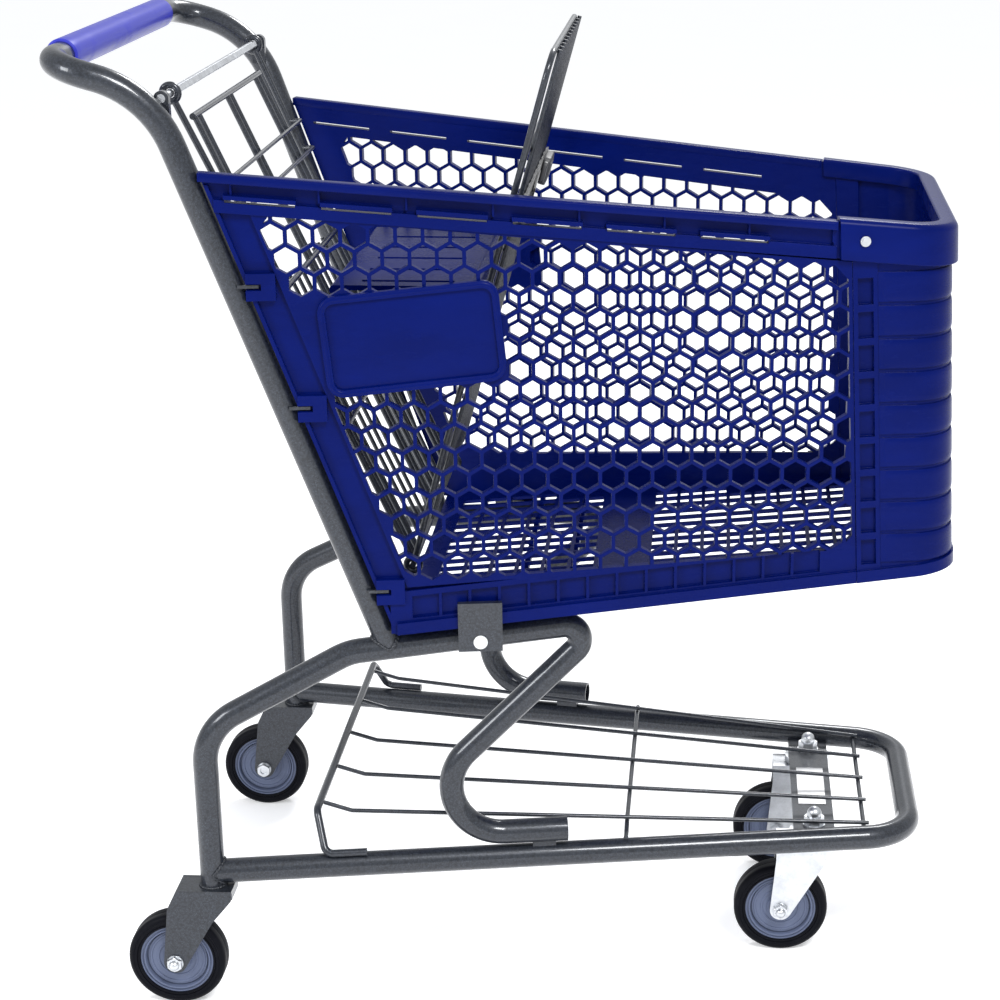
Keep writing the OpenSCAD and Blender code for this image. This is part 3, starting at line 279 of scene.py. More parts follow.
def grip_plastic(c):
    """Violet blue grip: smooth, with lengthways drawing marks and hand wear."""
    f = Finish("grip_plastic", Specular_IOR_Level=0.14)
    drawn = f.noise(420.0, 3.0, f.stretched((1.0, 0.03, 1.0)))
    worn = f.noise(26.0, 5.0).clamped(0.5, 0.8)
    body = f.mixed(drawn, shade(c.grip, 0.9), shade(c.grip, 1.12))
    return f.end(f.mixed(worn * 0.25, body, shade(c.grip, 1.5)), 0.26 + worn * 0.16 + drawn * 0.05,
                 drawn, 0.0001, 0.3)


def zinc_plate(name, tone, rough, streak):
    """Bright zinc: streaks from rolling, pale bloom and small darker spots."""
    f = Finish(name, Metallic=1.0)
    rolled = f.noise(240.0, 4.0, f.stretched(streak))
    bloom = f.noise(38.0, 6.0, rough=0.7)
    spots = f.noise(420.0, 3.0).clamped(0.66, 0.78)
    body = f.mixed(bloom.clamped(0.35, 0.7), shade(tone, 0.78), shade(tone, 1.12))
    return f.end(f.mixed(spots * 0.5, body, shade(tone, 0.5)),
                 rough + rolled * 0.12 + bloom * 0.10, rolled, 0.00008, 0.35)


def tyre_rubber(c):
    """Black rubber with fine pores, and dust that clings in patches."""
    f = Finish("tyre_rubber", Specular_IOR_Level=0.08)
    pores = f.noise(1900.0, 3.0)
    dust = f.noise(70.0, 6.0, rough=0.65).clamped(0.5, 0.82)
    return f.end(f.mixed(dust * 0.22, c.tyre[:], (0.028, 0.028, 0.034)), 0.46 + dust * 0.2,
                 pores + dust * 0.5, 0.00015, 0.4)


def hub_plastic(c):
    """Blue grey hubs: satin, with a fine grain and scuffs."""
    f = Finish("hub_plastic", Specular_IOR_Level=0.3)
    grain = f.noise(1300.0, 2.0)
    scuffs = f.noise(150.0, 6.0, rough=0.75).clamped(0.58, 0.8)
    tone = f.noise(30.0, 3.0)
    body = f.mixed(tone, shade(c.hub, 0.9), shade(c.hub, 1.1))
    return f.end(f.mixed(scuffs * 0.4, body, shade(c.hub, 1.7)), 0.42 + scuffs * 0.2,
                 grain, 0.0001, 0.3)


def white_nylon(c):
    """Natural nylon with a faint waxy mottle."""
    f = Finish("white_nylon", Subsurface_Weight=0.1)
    mottle = f.noise(180.0, 4.0)
    return f.end(f.mixed(mottle, c.nylon[:], shade(c.nylon, 0.9)), 0.36 + mottle * 0.15,
                 mottle, 0.0001, 0.2)


def woven_webbing(c):
    """Black webbing: warp ribs along the belt and a twill of weft across them."""
    f = Finish("woven_webbing", Specular_IOR_Level=0.3, Sheen_Weight=0.35, Sheen_Roughness=0.5)
    warp = f.wave(260.0, f.stretched((0.0, 0.0, 1.0)))
    twill = f.wave(150.0, f.stretched((0.0, 1.0, 1.0)))
    weave = warp * 0.5 + twill * 0.5
    fluff = f.noise(900.0, 3.0)
    return f.end(f.mixed(weave * 0.6 + fluff * 0.3, shade(c.webbing, 0.7), shade(c.webbing, 4.0)),
                 0.72 + fluff * 0.15, weave + fluff * 0.3, 0.0004, 0.7)


def buckle_plastic():
    """Dark grey acetal with a fine spark grain."""
    f = Finish("buckle_plastic")
    grain = f.noise(1500.0, 3.0)
    return f.end(f.mixed(grain, (0.045, 0.046, 0.05), (0.075, 0.076, 0.082)), 0.38 + grain * 0.15,
                 grain, 0.0001, 0.3)


def blank_foil():
    """Silver foil sticker with nothing printed on it, creased a little."""
    f = Finish("blank_foil", Metallic=0.55)
    creases = f.noise(90.0, 5.0, rough=0.7)
    return f.end(f.mixed(creases, (0.55, 0.55, 0.56), (0.78, 0.78, 0.79)), 0.28 + creases * 0.2,
                 creases, 0.0003, 0.4)


def weld_metal(c):
    """Painted weld: the same grey over a rippled bead, a little darker."""
    f = Finish("weld_metal", Metallic=0.3, Coat_Weight=0.25, Coat_Roughness=0.2)
    crust = f.cells(900.0, feature="SMOOTH_F1")
    return f.end(f.mixed(crust.clamped(0.1, 0.7), shade(c.paint, 1.15), shade(c.paint, 0.55)),
                 0.36 + crust * 0.2, crust, 0.0004, 0.5)


MATERIALS = {}


def make_materials(c):
    MATERIALS.update({
        "painted_tube": hammered_paint(c),
        "bright_zinc": zinc_plate("bright_zinc", c.zinc[:], 0.24, (1.0, 1.0, 0.12)),
        "bearing_steel": zinc_plate("bearing_steel", (0.62, 0.62, 0.64), 0.2, (1.0, 0.1, 1.0)),
        "blue_plastic": moulded_plastic(c),
        "grip_plastic": grip_plastic(c),
        "tyre_rubber": tyre_rubber(c),
        "hub_plastic": hub_plastic(c),
        "white_nylon": white_nylon(c),
        "webbing": woven_webbing(c),
        "buckle_plastic": buckle_plastic(),
        "blank_sticker": blank_foil(),
        "weld": weld_metal(c),
    })


# ---- surfaces on a grid ----

def piece(name, body, slot, surfaces, material=None, sharp=38.0):
    """Puts closed surfaces, each (points, faces), into one piece that rides on a body.

    Points that fall together at poles and seams are merged, and faces are turned outwards.
    """
    points, faces, base = [], [], 0
    for p, f in surfaces:
        points.append(p)
        faces.extend((np.asarray(row) + base).tolist() for row in f)
        base += len(p)
    mesh = bpy.data.meshes.new(name)
    mesh.from_pydata(np.vstack(points).tolist(), [], faces)
    work = bmesh.new()
    work.from_mesh(mesh)
    bmesh.ops.remove_doubles(work, verts=work.verts, dist=1e-7)
    bmesh.ops.recalc_face_normals(work, faces=work.faces)
    work.to_mesh(mesh)
    work.free()
    mesh.shade_smooth()
    mesh.set_sharp_from_angle(angle=math.radians(sharp))
    made = bpy.data.objects.new(name, mesh)
    bpy.context.scene.collection.objects.link(made)
    mesh.materials.append(material or MATERIALS[slot])
    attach(made, body)
    return made


def grid(points, round_u=True, round_v=True):
    """Four-sided faces over a grid of points (u, v, 3); open ends in u are closed by one face each.

    Point (i, j) has the number i * columns + j, and a round direction joins its last row to its first.
    """
    rows, columns = points.shape[:2]
    i = np.arange(rows if round_u else rows - 1)[:, None]
    j = np.arange(columns if round_v else columns - 1)[None, :]
    a, b = i * columns, (i + 1) % rows * columns
    k, m = j, (j + 1) % columns
    faces = np.stack([a + k, b + k, b + m, a + m], -1).reshape(-1, 4).tolist()
    if not round_u:
        first = list(range(columns))
        faces += [first[::-1], [(rows - 1) * columns + n for n in first]]
    return points.reshape(-1, 3), faces


def turned(outline, centre, steps=72, radius=None):
    """An outline of (radius, y) turned about the Y axis through centre.

    Point (i, j) is centre + (r cos t, y, r sin t), where t is 2 pi i / steps. radius may change r
    with t, as a nut's flats do.
    """
    t = np.linspace(0.0, 2 * np.pi, steps, endpoint=False)[:, None]
    r, y = np.array(outline, float).T * MM
    r = r[None, :] * np.ones_like(t) if radius is None else radius(t, r[None, :])
    return grid(np.stack([centre[0] + r * np.cos(t), centre[1] + y[None, :] + 0 * t,
                          centre[2] + r * np.sin(t)], -1))


def arc(x, y, r, start, stop, n):
    """Points on a circle about (x, y), from one angle to another in degrees."""
    t = np.radians(np.linspace(start, stop, n))
    return [(x + r * math.cos(a), y + r * math.sin(a)) for a in t]


def mirrored_outline(half):
    """A closed outline from its half on one side: the other half is the same with -y."""
    return list(half) + [(r, -y) for r, y in reversed(half)]


# ---- wheels ----

def tyre_outline(s):
    """Half of the tyre: side wall with a groove near the hub and a rib, round shoulder, tread line."""
    w, top, seat = s.tyre_width / MM / 2, s.wheel_radius / MM, s.hub_radius / MM
    r = 5.5                                              # shoulder's radius
    side = [(seat, w - 0.7), (seat + 1.2, w - 0.1), (seat + 1.9, w - 0.1), (seat + 2.3, w - 0.9),
            (seat + 3.0, w - 0.9), (seat + 3.4, w), (seat + 5.6, w), (seat + 6.0, w - 0.35),
            (seat + 6.6, w - 0.35), (top - r, w)]
    shoulder = arc(top - r, w - r, r, 84.0, 0.0, 9)
    return side + shoulder + [(top - 0.05, 2.4), (top - 0.25, 0.9), (top - 0.25, 0.45), (top, 0.25)]


def hub_outline(s):
    """Half of the hub: bore, bearing pocket, boss, a web with two raised rings, and a grooved rim."""
    w, seat = s.hub_width / MM / 2, s.hub_radius / MM
    web = 7.0                                            # web's face, from the hub's middle
    bearing_r, bearing_seat = 11.05, 4.0
    boss = [(6.0, 0.5), (6.0, bearing_seat), (bearing_r, bearing_seat), (bearing_r, w - 0.6), (11.6, w),
            (13.9, w), (14.5, w - 0.6), (15.1, web)]
    rings = []
    for r in (19.0, 26.5):
        rings += [(r, web), (r + 0.5, web + 0.8), (r + 2.2, web + 0.8), (r + 2.7, web)]
    groove = [(31.0, web), (31.4, 4.6), (32.4, 4.6), (32.8, w - 0.9), (33.4, w)]
    rim = [(34.6, w), (34.9, w - 1.6), (36.2, w - 1.6), (36.5, w), (seat - 0.4, w), (seat, w - 0.4)]
    return boss + rings + groove + rim


class CART_OT_wheels(bpy.types.Operator):
    """Makes the four tyres and hubs as turned surfaces"""
    bl_idname = "cart.wheels"
    bl_label = "Tyres and hubs"

    def execute(self, context):
        s = context.scene.cart_sizes
        for place, (body, _) in WHEELS.items():
            end, side = place.split("_")
            centre = centre_of(f"{end}_tyre_{side}")
            tyre = piece(f"turned_tyre_{place}", body, "tyre_rubber",
                         [turned(mirrored_outline(tyre_outline(s)), centre, 96)])
            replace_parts(tyre, f"{end}_tyre_{side}")
            hub = piece(f"turned_hub_{place}", body, "hub_plastic",
                        [turned(mirrored_outline(hub_outline(s)), centre, 72)])
            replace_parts(hub, f"{end}_hub_{side}")
        return {"FINISHED"}


def hexagon(across):
    """Radius at the angle t of a six-sided bar, where it is less than r."""
    def radius(t, r):
        flat = across * MM / 2 / np.cos((t + np.pi / 6) % (np.pi / 3) - np.pi / 6)
        return np.minimum(r, flat)
    return radius


class CART_OT_wheel_bolts(bpy.types.Operator):
    """Makes each wheel's bolt, with washers, a chamfered hexagon nut and a domed cap"""
    bl_idname = "cart.wheel_bolts"
    bl_label = "Wheel bolts"

    def execute(self, context):
        for place, (_, body) in WHEELS.items():
            end, side = place.split("_")
            node = f"rear_axle_{side}" if end == "rear" else f"caster_axle_{side}"
            outward = -1.0 if side == "right" else 1.0
            centre = centre_of(f"{end}_tyre_{side}")
            half = 18.5 if end == "rear" else 17.5       # to the fork's outer face
            flats = hexagon(14.6)
            shaft = [(0, -half - 3), (3.6, -half - 3), (4.0, -half - 2.6), (4.0, half + 2), (0, half + 2)]
            washer = [(4.05, half + 0.1), (8.4, half + 0.1), (8.7, half + 0.5), (8.5, half + 1.3),
                      (4.05, half + 1.4)]
            nut = [(0, half + 1.4), (7.6, half + 1.4), (8.9, half + 2.1), (8.9, half + 5.2),
                   (7.3, half + 6.0)]
            dome = arc(0.0, half + 5.4, 5.6, 8.0, 90.0, 9)
            head = [(0, -half - 1.4), (7.6, -half - 1.4), (8.9, -half - 2.1), (8.9, -half - 6.4),
                    (7.6, -half - 7.2), (4.2, -half - 7.2), (3.6, -half - 5.4), (0, -half - 5.4)]
            shapes = [(shaft, None), (washer, None), (nut + [(5.6, half + 6.1)] + dome, flats),
                      ([(r, -y) for r, y in washer], None), (head, flats)]
            surfaces = [turned([(r, outward * y) for r, y in outline], centre, 48, radius)
                        for outline, radius in shapes]
            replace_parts(piece(f"wheel_bolt_{place}", body, "bright_zinc", surfaces, sharp=24.0), node)
        return {"FINISHED"}


# ---- handle ----

class CART_OT_handle_grip(bpy.types.Operator):
    """Makes the grip: a tube with a slit along it, its ends and the slit's lips rounded"""
    bl_idname = "cart.handle_grip"
    bl_label = "Handle grip"

    def execute(self, context):
        low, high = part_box("handle_grip")
        centre = centre_of("handle_grip")
        half, outer = (high.y - low.y) / 2, (high.z - low.z) / 2
        clearance, lip_r, end_in = 0.0001, 0.0016, 0.0022
        inner = context.scene.cart_sizes.tube_radius + clearance
        # Angle t runs once round from one lip of the slit to the other. Each lip's last rows pull the
        # outer face in by a quarter circle, and the ends along Y do the same.
        gap, lip = 0.055, 0.11                           # half the slit and a lip, as angles
        slit = math.radians(-138.0)
        share = np.linspace(0.0, 1.0, 90)
        t = slit + gap + (2 * np.pi - 2 * gap) * share
        near = np.minimum(share, 1.0 - share) * (2 * np.pi)
        lip_in = 1.0 - np.sqrt(np.clip(1.0 - (1.0 - np.clip(near / lip, 0, 1)) ** 2, 0, 1))
        bend = np.radians(np.linspace(0.0, 90.0, 7))
        middle = np.linspace(-half + end_in, half - end_in, 30)[1:-1]
        drop, run = end_in * (1 - np.sin(bend)), end_in * (1 - np.cos(bend))
        pull = np.concatenate([drop, np.zeros(len(middle)), drop[::-1]])
        ys = np.concatenate([-half + run, middle, half - run[::-1]])
        outer_r = outer - pull[None, :] - lip_r * lip_in[:, None]

        def round_tube(r, y):
            t_column = t[:, None]
            return np.stack([centre[0] + r * np.cos(t_column) + 0 * y[None, :],
                             centre[1] + y[None, :] + 0 * t_column,
                             centre[2] + r * np.sin(t_column) + 0 * y[None, :]], -1)

        outer_face, inner_face = round_tube(outer_r, ys), round_tube(inner, ys[::-1])
        made = piece("grip_sleeve", "root", "grip_plastic",
                     [grid(np.concatenate([outer_face, inner_face], 1), round_u=False)], sharp=50.0)
        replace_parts(made, "handle_grip")
        return {"FINISHED"}


# ---- basket ----

def plan_line(s, start):
    """The basket wall's line seen from above, from the right wall round the front to the left wall.

    It gives places (x, y) and outward directions: a straight taper, an arc of the corner's radius,
    the flat front, and the same again mirrored.
    """
    w, r = s.wall_angle, s.corner_radius
    out = np.array([math.sin(w), -math.cos(w)])
    corner_x = s.front_x - r
    middle = np.array([corner_x, -(s.wall_half - corner_x * math.tan(w) - r / math.cos(w))])
    tangent = middle + out * r
    first = np.array([start, -(s.wall_half - start * math.tan(w))])
    straight = first + (tangent - first) * np.linspace(0, 1, 6)[:-1, None]
    a = np.linspace(-(math.pi / 2 - w), 0.0, 22)
    bend = middle + r * np.stack([np.cos(a), np.sin(a)], -1)
    flat = np.array([[s.front_x, y] for y in np.linspace(middle[1], 0.0, 9)[1:]])
    half = np.vstack([straight, bend, flat])
    normals = np.vstack([np.repeat(out[None], len(straight), 0), np.stack([np.cos(a), np.sin(a)], -1),
                         np.repeat([[1.0, 0.0]], len(flat), 0)])
    flip = np.array([1.0, -1.0])
    return np.vstack([half, half[-2::-1] * flip]), np.vstack([normals, normals[-2::-1] * flip])


def leaning_point(s, plan_x, y, z):
    """A wall point at the height z, once the front has leaned back: x falls by z's rise times tan."""
    level = s.front_x + (plan_x - s.front_x) / math.cos(s.front_lean)
    x = level - (z - s.lean_z) * math.tan(s.front_lean)
    return np.stack([AXLE_X + x, y + 0 * x, z + 0 * x], -1)


def rim_height(s, plan_x, rise):
    """Height of the sloping rim plus rise, on the leaning front."""
    slope, lean = math.tan(s.rim_slope), math.tan(s.front_lean)
    level = s.front_x + (plan_x - s.front_x) / math.cos(s.front_lean)
    top = s.rim_rear_z + s.rim_rear_x * slope + rise
    x = (level - (top - s.lean_z) * lean) / (1 - slope * lean)
    return top - x * slope


class CART_OT_front_cap(bpy.types.Operator):
    """Makes the cap over the basket's front rim: a rounded section carried round the rim"""
    bl_idname = "cart.front_cap"
    bl_label = "Front cap"

    def execute(self, context):
        s = context.scene.cart_sizes
        line, out = plan_line(s, s.cap_start)
        # Section as (distance outwards, rise above the rim), in millimetres
        section = ([(8.0, -35.0), (8.0, -20.0)] + arc(1.6, -3.4, 6.4, 0.0, 80.0, 9)
                   + [(-2.0, 3.0), (-6.0, 3.0)] + arc(-8.2, 0.2, 2.8, 90.0, 180.0, 6)
                   + [(-11.0, -8.0)] + arc(-10.2, -15.2, 0.8, 180.0, 270.0, 3)
                   + arc(-9.2, -15.2, 0.8, 270.0, 360.0, 3)
                   + [(-8.4, -0.3), (2.6, -0.3), (2.6, -35.2)] + arc(3.8, -35.0, 1.2, 180.0, 270.0, 3)
                   + arc(6.8, -35.0, 1.2, 270.0, 350.0, 3))
        n, rise = np.array(section).T * MM
        x = line[:, :1] + out[:, :1] * n
        y = line[:, 1:] + out[:, 1:] * n
        z = rim_height(s, x, rise[None, :])
        cap = piece("rim_cap", "root", "blue_plastic",
                    [grid(leaning_point(s, x, y, z), round_u=False)], sharp=42.0)
        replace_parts(cap, "front_cap")
        return {"FINISHED"}


class CART_OT_front_bands(bpy.types.Operator):
    """Makes the pillowed faces of the moulded bands that run round the basket's front"""
    bl_idname = "cart.front_bands"
    bl_label = "Front bands"

    def execute(self, context):
        s = context.scene.cart_sizes
        start, low, high = 0.7117, 0.4728, 0.7692        # along the cart, and from bottom to top
        groove, below, root = 0.0043, 0.0004, 0.0008     # between bands, under a band, and its foot
        line, out = plan_line(s, start)
        pitch = (high - low) / s.bands
        surfaces = []
        # Across a band, t runs 0 to 1 and the face stands out by 1.6 + 0.7 (1 - |2t - 1|^7) mm
        t = np.linspace(0.0, 1.0, 13)
        crown = 1.6 + 0.7 * (1 - np.abs(2 * t - 1) ** 7)
        away = np.arange(len(line))
        edge = np.clip(np.minimum(away, away[::-1]) / 1.5, 0.0, 1.0)
        for i in range(s.bands):
            z = low + i * pitch + below + (pitch - groove) * t
            n = np.concatenate([crown, [0.6, 0.6]]) * MM
            zz = np.concatenate([z, [z[-1], z[0]]])
            stand = root + (n[None, :] - root) * np.where(n > 0.001, edge[:, None], 1.0)
            x, y = line[:, :1] + out[:, :1] * stand, line[:, 1:] + out[:, 1:] * stand
            surfaces.append(grid(leaning_point(s, x, y, zz[None, :] + 0 * x), round_u=False))
        piece("front_bands", "root", "blue_plastic", surfaces, sharp=55.0)
        return {"FINISHED"}


def on_wall(s, side, along, depth, z):
    """A point of a basket wall: along the wall, inwards from its face, and up; right is side -1."""
    w = s.wall_angle
    x = along * math.cos(w) - depth * math.sin(w)
    y = -s.wall_half + along * math.sin(w) + depth * math.cos(w)
    return np.stack([AXLE_X + x + 0 * z, -side * y + 0 * z, z + 0 * x], -1)


class CART_OT_rim_beads(bpy.types.Operator):
    """Makes the rounded bead along the top of each side panel"""
    bl_idname = "cart.rim_beads"
    bl_label = "Rim beads"

    def execute(self, context):
        s = context.scene.cart_sizes
        # Section as (distance outwards, rise above the rim): a bar 14.6 wide and 8.6 high, round on top
        section = (arc(3.2, -2.7, 3.1, 0.0, 90.0, 7) + arc(-6.2, -1.7, 2.1, 90.0, 180.0, 6)
                   + arc(-7.3, -7.2, 1.0, 180.0, 270.0, 3) + arc(5.1, -7.0, 1.2, 270.0, 360.0, 4))
        n, rise = np.array(section).T * MM
        middle = np.array([n.mean(), rise.mean()])
        for side, name in ((-1.0, "right"), (1.0, "left")):
            first, last = s.rim_rear_x + 0.0006, s.bead_end
            ends = np.concatenate([[0.0, 0.0006, 0.0016], np.linspace(0.004, last - first - 0.004, 20),
                                   [last - first - 0.0016, last - first - 0.0006, last - first]])
            size = np.ones(len(ends))
            size[[0, -1]], size[[1, -2]] = 0.90, 0.965
            x = (first + ends)[:, None]
            nn = middle[0] + (n - middle[0])[None, :] * size[:, None]
            rr = middle[1] + (rise - middle[1])[None, :] * size[:, None]
            z = s.rim_rear_z - (x - s.rim_rear_x) * math.tan(s.rim_slope) + rr
            points = on_wall(s, side, x / math.cos(s.wall_angle) + 0 * nn, -nn, z)
            piece(f"rim_bead_{name}", "root", "blue_plastic", [grid(points, round_u=False)])
        return {"FINISHED"}


class CART_OT_sign_pads(bpy.types.Operator):
    """Makes the raised round edge of the two sign pads, and the slightly crowned face inside it"""
    bl_idname = "cart.sign_pads"
    bl_label = "Sign pads"

    def execute(self, context):
        s = context.scene.cart_sizes
        tilt, along0, z0 = math.radians(5.3), 0.263 / math.cos(s.wall_angle), 0.709
        w, h, r = 0.086, 0.049, 0.016                    # half sizes and the corners' radius
        inset, face_inset = 0.0035, 0.0066
        corners = [(w - r, h - r, 0.0), (r - w, h - r, 90.0), (r - w, r - h, 180.0), (w - r, r - h, 270.0)]
        line = np.array([p for cx, cy, a in corners for p in arc(cx, cy, r, a, a + 90.0, 12)])
        out = np.array([p for _, _, a in corners for p in arc(0.0, 0.0, 1.0, a, a + 90.0, 12)])
        # The edge's section stands up as half an ellipse 7.6 wide and 4.4 high, inside the pad's outline
        t = np.radians(np.linspace(0.0, 180.0, 13))
        across = np.concatenate([3.8 * np.cos(t), [-3.8, 3.8]]) * MM - inset
        lift = np.concatenate([1.2 + 4.4 * np.sin(t), [0.4, 0.4]]) * MM
        u = line[:, :1] + out[:, :1] * across
        v = line[:, 1:] + out[:, 1:] * across
        # The face is a shallow crown: it rises by 0.9 mm times (1 - a^2)(1 - b^2) over the pad
        a, b = np.meshgrid(np.linspace(-1, 1, 25), np.linspace(-1, 1, 17), indexing="ij")
        face_u, face_v = a * (w - face_inset), b * (h - face_inset)
        crown = 0.0017 + 0.0009 * (1 - a ** 2) * (1 - b ** 2)
        fu = np.concatenate([face_u, face_u[:, ::-1]], 1)
        fv = np.concatenate([face_v, face_v[:, ::-1]], 1)
        flift = np.concatenate([crown, np.full_like(crown, 0.0009)], 1)
        for side, name in ((-1.0, "right"), (1.0, "left")):
            shapes = []
            for uu, vv, up, round_u in ((u, v, lift[None, :] + 0 * u, True), (fu, fv, flift, False)):
                along = along0 + uu * math.cos(tilt) - vv * math.sin(tilt)
                z = z0 + uu * math.sin(tilt) + vv * math.cos(tilt)
                shapes.append(grid(on_wall(s, side, along, -up, z), round_u=round_u))
            piece(f"sign_pad_edge_{name}", "root", "blue_plastic", shapes[:1])
            piece(f"sign_pad_face_{name}", "root", "blue_plastic", shapes[1:])
        return {"FINISHED"}


# ---- chassis ----

def unit(v):
    v = np.asarray(v, float)
    return v / np.linalg.norm(v)


def weld_ring(start, way, radius, axis_point, axis, other, bead=0.0021, ripples=26):
    """A bead where a tube with the given start and direction meets a round bar's side.

    Round the tube, the point at angle t is moved along the tube until it is the bar's radius from
    the bar's axis. The bead's own radius swells and shrinks with the ripples as sin(ripples t).
    """
    way, axis = unit(way), unit(axis)
    side = unit(np.cross(way, [0.0, 0.0, 1.0] if abs(way[2]) < 0.9 else [1.0, 0.0, 0.0]))
    up = np.cross(side, way)
    t = np.linspace(0, 2 * np.pi, 120, endpoint=False)[:, None]
    spoke = np.cos(t) * side + np.sin(t) * up
    p = np.asarray(start) + radius * spoke
    off = p - axis_point
    flat, run = off - (off @ axis)[:, None] * axis, way - (way @ axis) * axis
    a, b, c = run @ run, 2 * flat @ run, (flat ** 2).sum(1) - other ** 2
    shift = (-b + np.sqrt(np.maximum(b * b - 4 * a * c, 0.0))) / (2 * a)
    base = p + shift[:, None] * way
    s = np.linspace(0, 2 * np.pi, 10, endpoint=False)[None, :, None]
    size = bead * (1 + 0.16 * np.sin(ripples * t) + 0.1 * np.sin(3 * t + 1.0))[:, :, None]
    return grid(base[:, None] + size * (np.cos(s) * spoke[:, None] + np.sin(s) * way))


class CART_OT_welds(bpy.types.Operator):
    """Makes the weld beads where the chassis tubes meet"""
    bl_idname = "cart.welds"
    bl_label = "Welds"

    def execute(self, context):
        s = context.scene.cart_sizes
        r = s.tube_radius
        bar_r = r + 0.0001
        taper, shelf_slope, lean = (math.radians(a) for a in (9.3, 5.3, 19.8))
        leg_x, shelf_x, foot_x, turn_x = 0.041, 0.188, 0.229, 0.446
        rail_z, shelf_z, handle_z = 0.1485, 0.3845, 0.94

        def at(x, z, side):
            """A point in the plane of one side's tubes, which close in towards the front."""
            return np.array([AXLE_X + x, side * (0.251 - x * math.tan(taper)), z])

        surfaces = []
        for side in (-1.0, 1.0):
            leg, rail = at(leg_x, rail_z, side), at(0.5, rail_z, side)
            surfaces.append(weld_ring(leg, rail - leg, r, leg, [0, 0, 1], bar_r))
            shelf = at(shelf_x, shelf_z, side)
            turn = at(turn_x, shelf_z + (turn_x - shelf_x) * math.tan(shelf_slope), side)
            foot = at(foot_x, shelf_z + (foot_x - shelf_x) * math.tan(shelf_slope), side)
            top = at(foot_x - 0.5517 * math.tan(lean), handle_z, side)
            surfaces.append(weld_ring(foot, top - foot, r, shelf, turn - shelf, bar_r))
            surfaces.append(ring_bead(at(leg_x, 0.134, side), r))
        piece("tube_welds", "root", "painted_tube", surfaces, MATERIALS["weld"], sharp=80.0)
        return {"FINISHED"}


def ring_bead(centre, radius, bead=0.0018):
    """A rippled bead round an upright tube's foot: a ring whose thickness changes as sin(24 t)."""
    t = np.linspace(0, 2 * np.pi, 120, endpoint=False)[:, None]
    s = np.linspace(0, 2 * np.pi, 10, endpoint=False)[None, :]
    size = bead * (1 + 0.18 * np.sin(24 * t))
    r = radius + size * np.cos(s)
    return grid(np.stack([centre[0] + r * np.cos(t), centre[1] + r * np.sin(t),
                          centre[2] + size * np.sin(s) + 0.0004], -1))


# ---- child seat ----

SEAT_FOOT = np.array([0.250018, 0.0, 0.464539])          # seat's hinge, from the rear axle
SEAT_LEAN = math.radians(16.0)


def on_seat(y, up, forward):
    """A point of the seat's back: across, up along it from its hinge, and forward of it."""
    s, c = math.sin(SEAT_LEAN), math.cos(SEAT_LEAN)
    return np.stack([AXLE_X + SEAT_FOOT[0] + up * s + forward * c, y + 0 * up,
                     SEAT_FOOT[2] + up * c - forward * s], -1)


def pillow(middle, half, power, steps=(28, 20)):
    """A rounded box on the seat's back: powers of the cosine and sine, so a small power squares it.

    The point at (a, b) is half * (sgn cos|cos|^p of b times the same of a, ..., sgn sin|sin|^p of b).
    """
    a = np.linspace(0, 2 * np.pi, steps[0], endpoint=False)[:, None]
    b = np.linspace(-np.pi / 2, np.pi / 2, steps[1])[None, :]

    def soft(v):
        return np.sign(v) * np.abs(np.where(np.abs(v) < 1e-9, 0.0, v)) ** power

    x = middle[0] + half[0] * soft(np.cos(b)) * soft(np.cos(a))
    y = middle[1] + half[1] * soft(np.cos(b)) * soft(np.sin(a))
    z = middle[2] + half[2] * soft(np.sin(b)) + 0 * a
    return grid(on_seat(x, y, z), round_v=False)


class CART_OT_seat_belt(bpy.types.Operator):
    """Makes the child belt's webbing, its loose tail and the buckle"""
    bl_idname = "cart.seat_belt"
    bl_label = "Seat belt"

    def execute(self, context):
        # Across the belt the section is a flat bar 25.6 wide and 1.6 thick with round edges. Along it,
        # the webbing dips 1.1 mm between the wires it lies on, as a squared sine.
        half, up, wires, pitch = 0.150, 0.372, 0.0082, 0.028
        y = np.linspace(-half, half, 181)[:, None]
        edge = arc(12.0, 0.8, 0.8, -90.0, 90.0, 6) + arc(-12.0, 0.8, 0.8, 90.0, 270.0, 6)
        v, thick = np.array(edge).T * MM
        wave = 0.0011 * np.sin(np.pi * y / pitch) ** 2 + 0.0003 * np.sin(y * 91.0)
        belt = on_seat(y + 0 * v, up + v + 0 * y, wires + wave + thick)
        # The loose tail lies on the belt and lifts towards its end, as the square of the way along it
        first, last = 0.02, -0.075
        tail_y = np.linspace(first, last, 60)[:, None]
        lift = 0.0031 + 0.0026 * ((first - tail_y) / (first - last)) ** 2
        tail = on_seat(tail_y + 0 * v, up - 0.0025 + v * 0.96 + 0.02 * (tail_y - first),
                       wires + lift + thick)
        strap = piece("belt_webbing", "seat_back", "webbing",
                      [grid(belt, round_u=False), grid(tail, round_u=False)])
        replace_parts(strap, "belt_strap")
        across = 0.096                                   # buckle's middle
        shapes = [pillow((across, up, 0.0152), (0.026, 0.0155, 0.0045), 0.28),
                  pillow((across, up, 0.0150), (0.034, 0.0115, 0.0026), 0.25),
                  pillow((across, up, 0.0196), (0.014, 0.0080, 0.0008), 0.3)]
        shapes += [pillow((across + k * 0.0226, up, 0.0192), (0.0012, 0.0105, 0.0010), 0.5, (14, 8))
                   for k in (-1, 1)]
        buckle = piece("belt_catch", "seat_back", "buckle_plastic", shapes)
        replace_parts(buckle, "belt_buckle")
        return {"FINISHED"}


# ---- finishes and stage ----

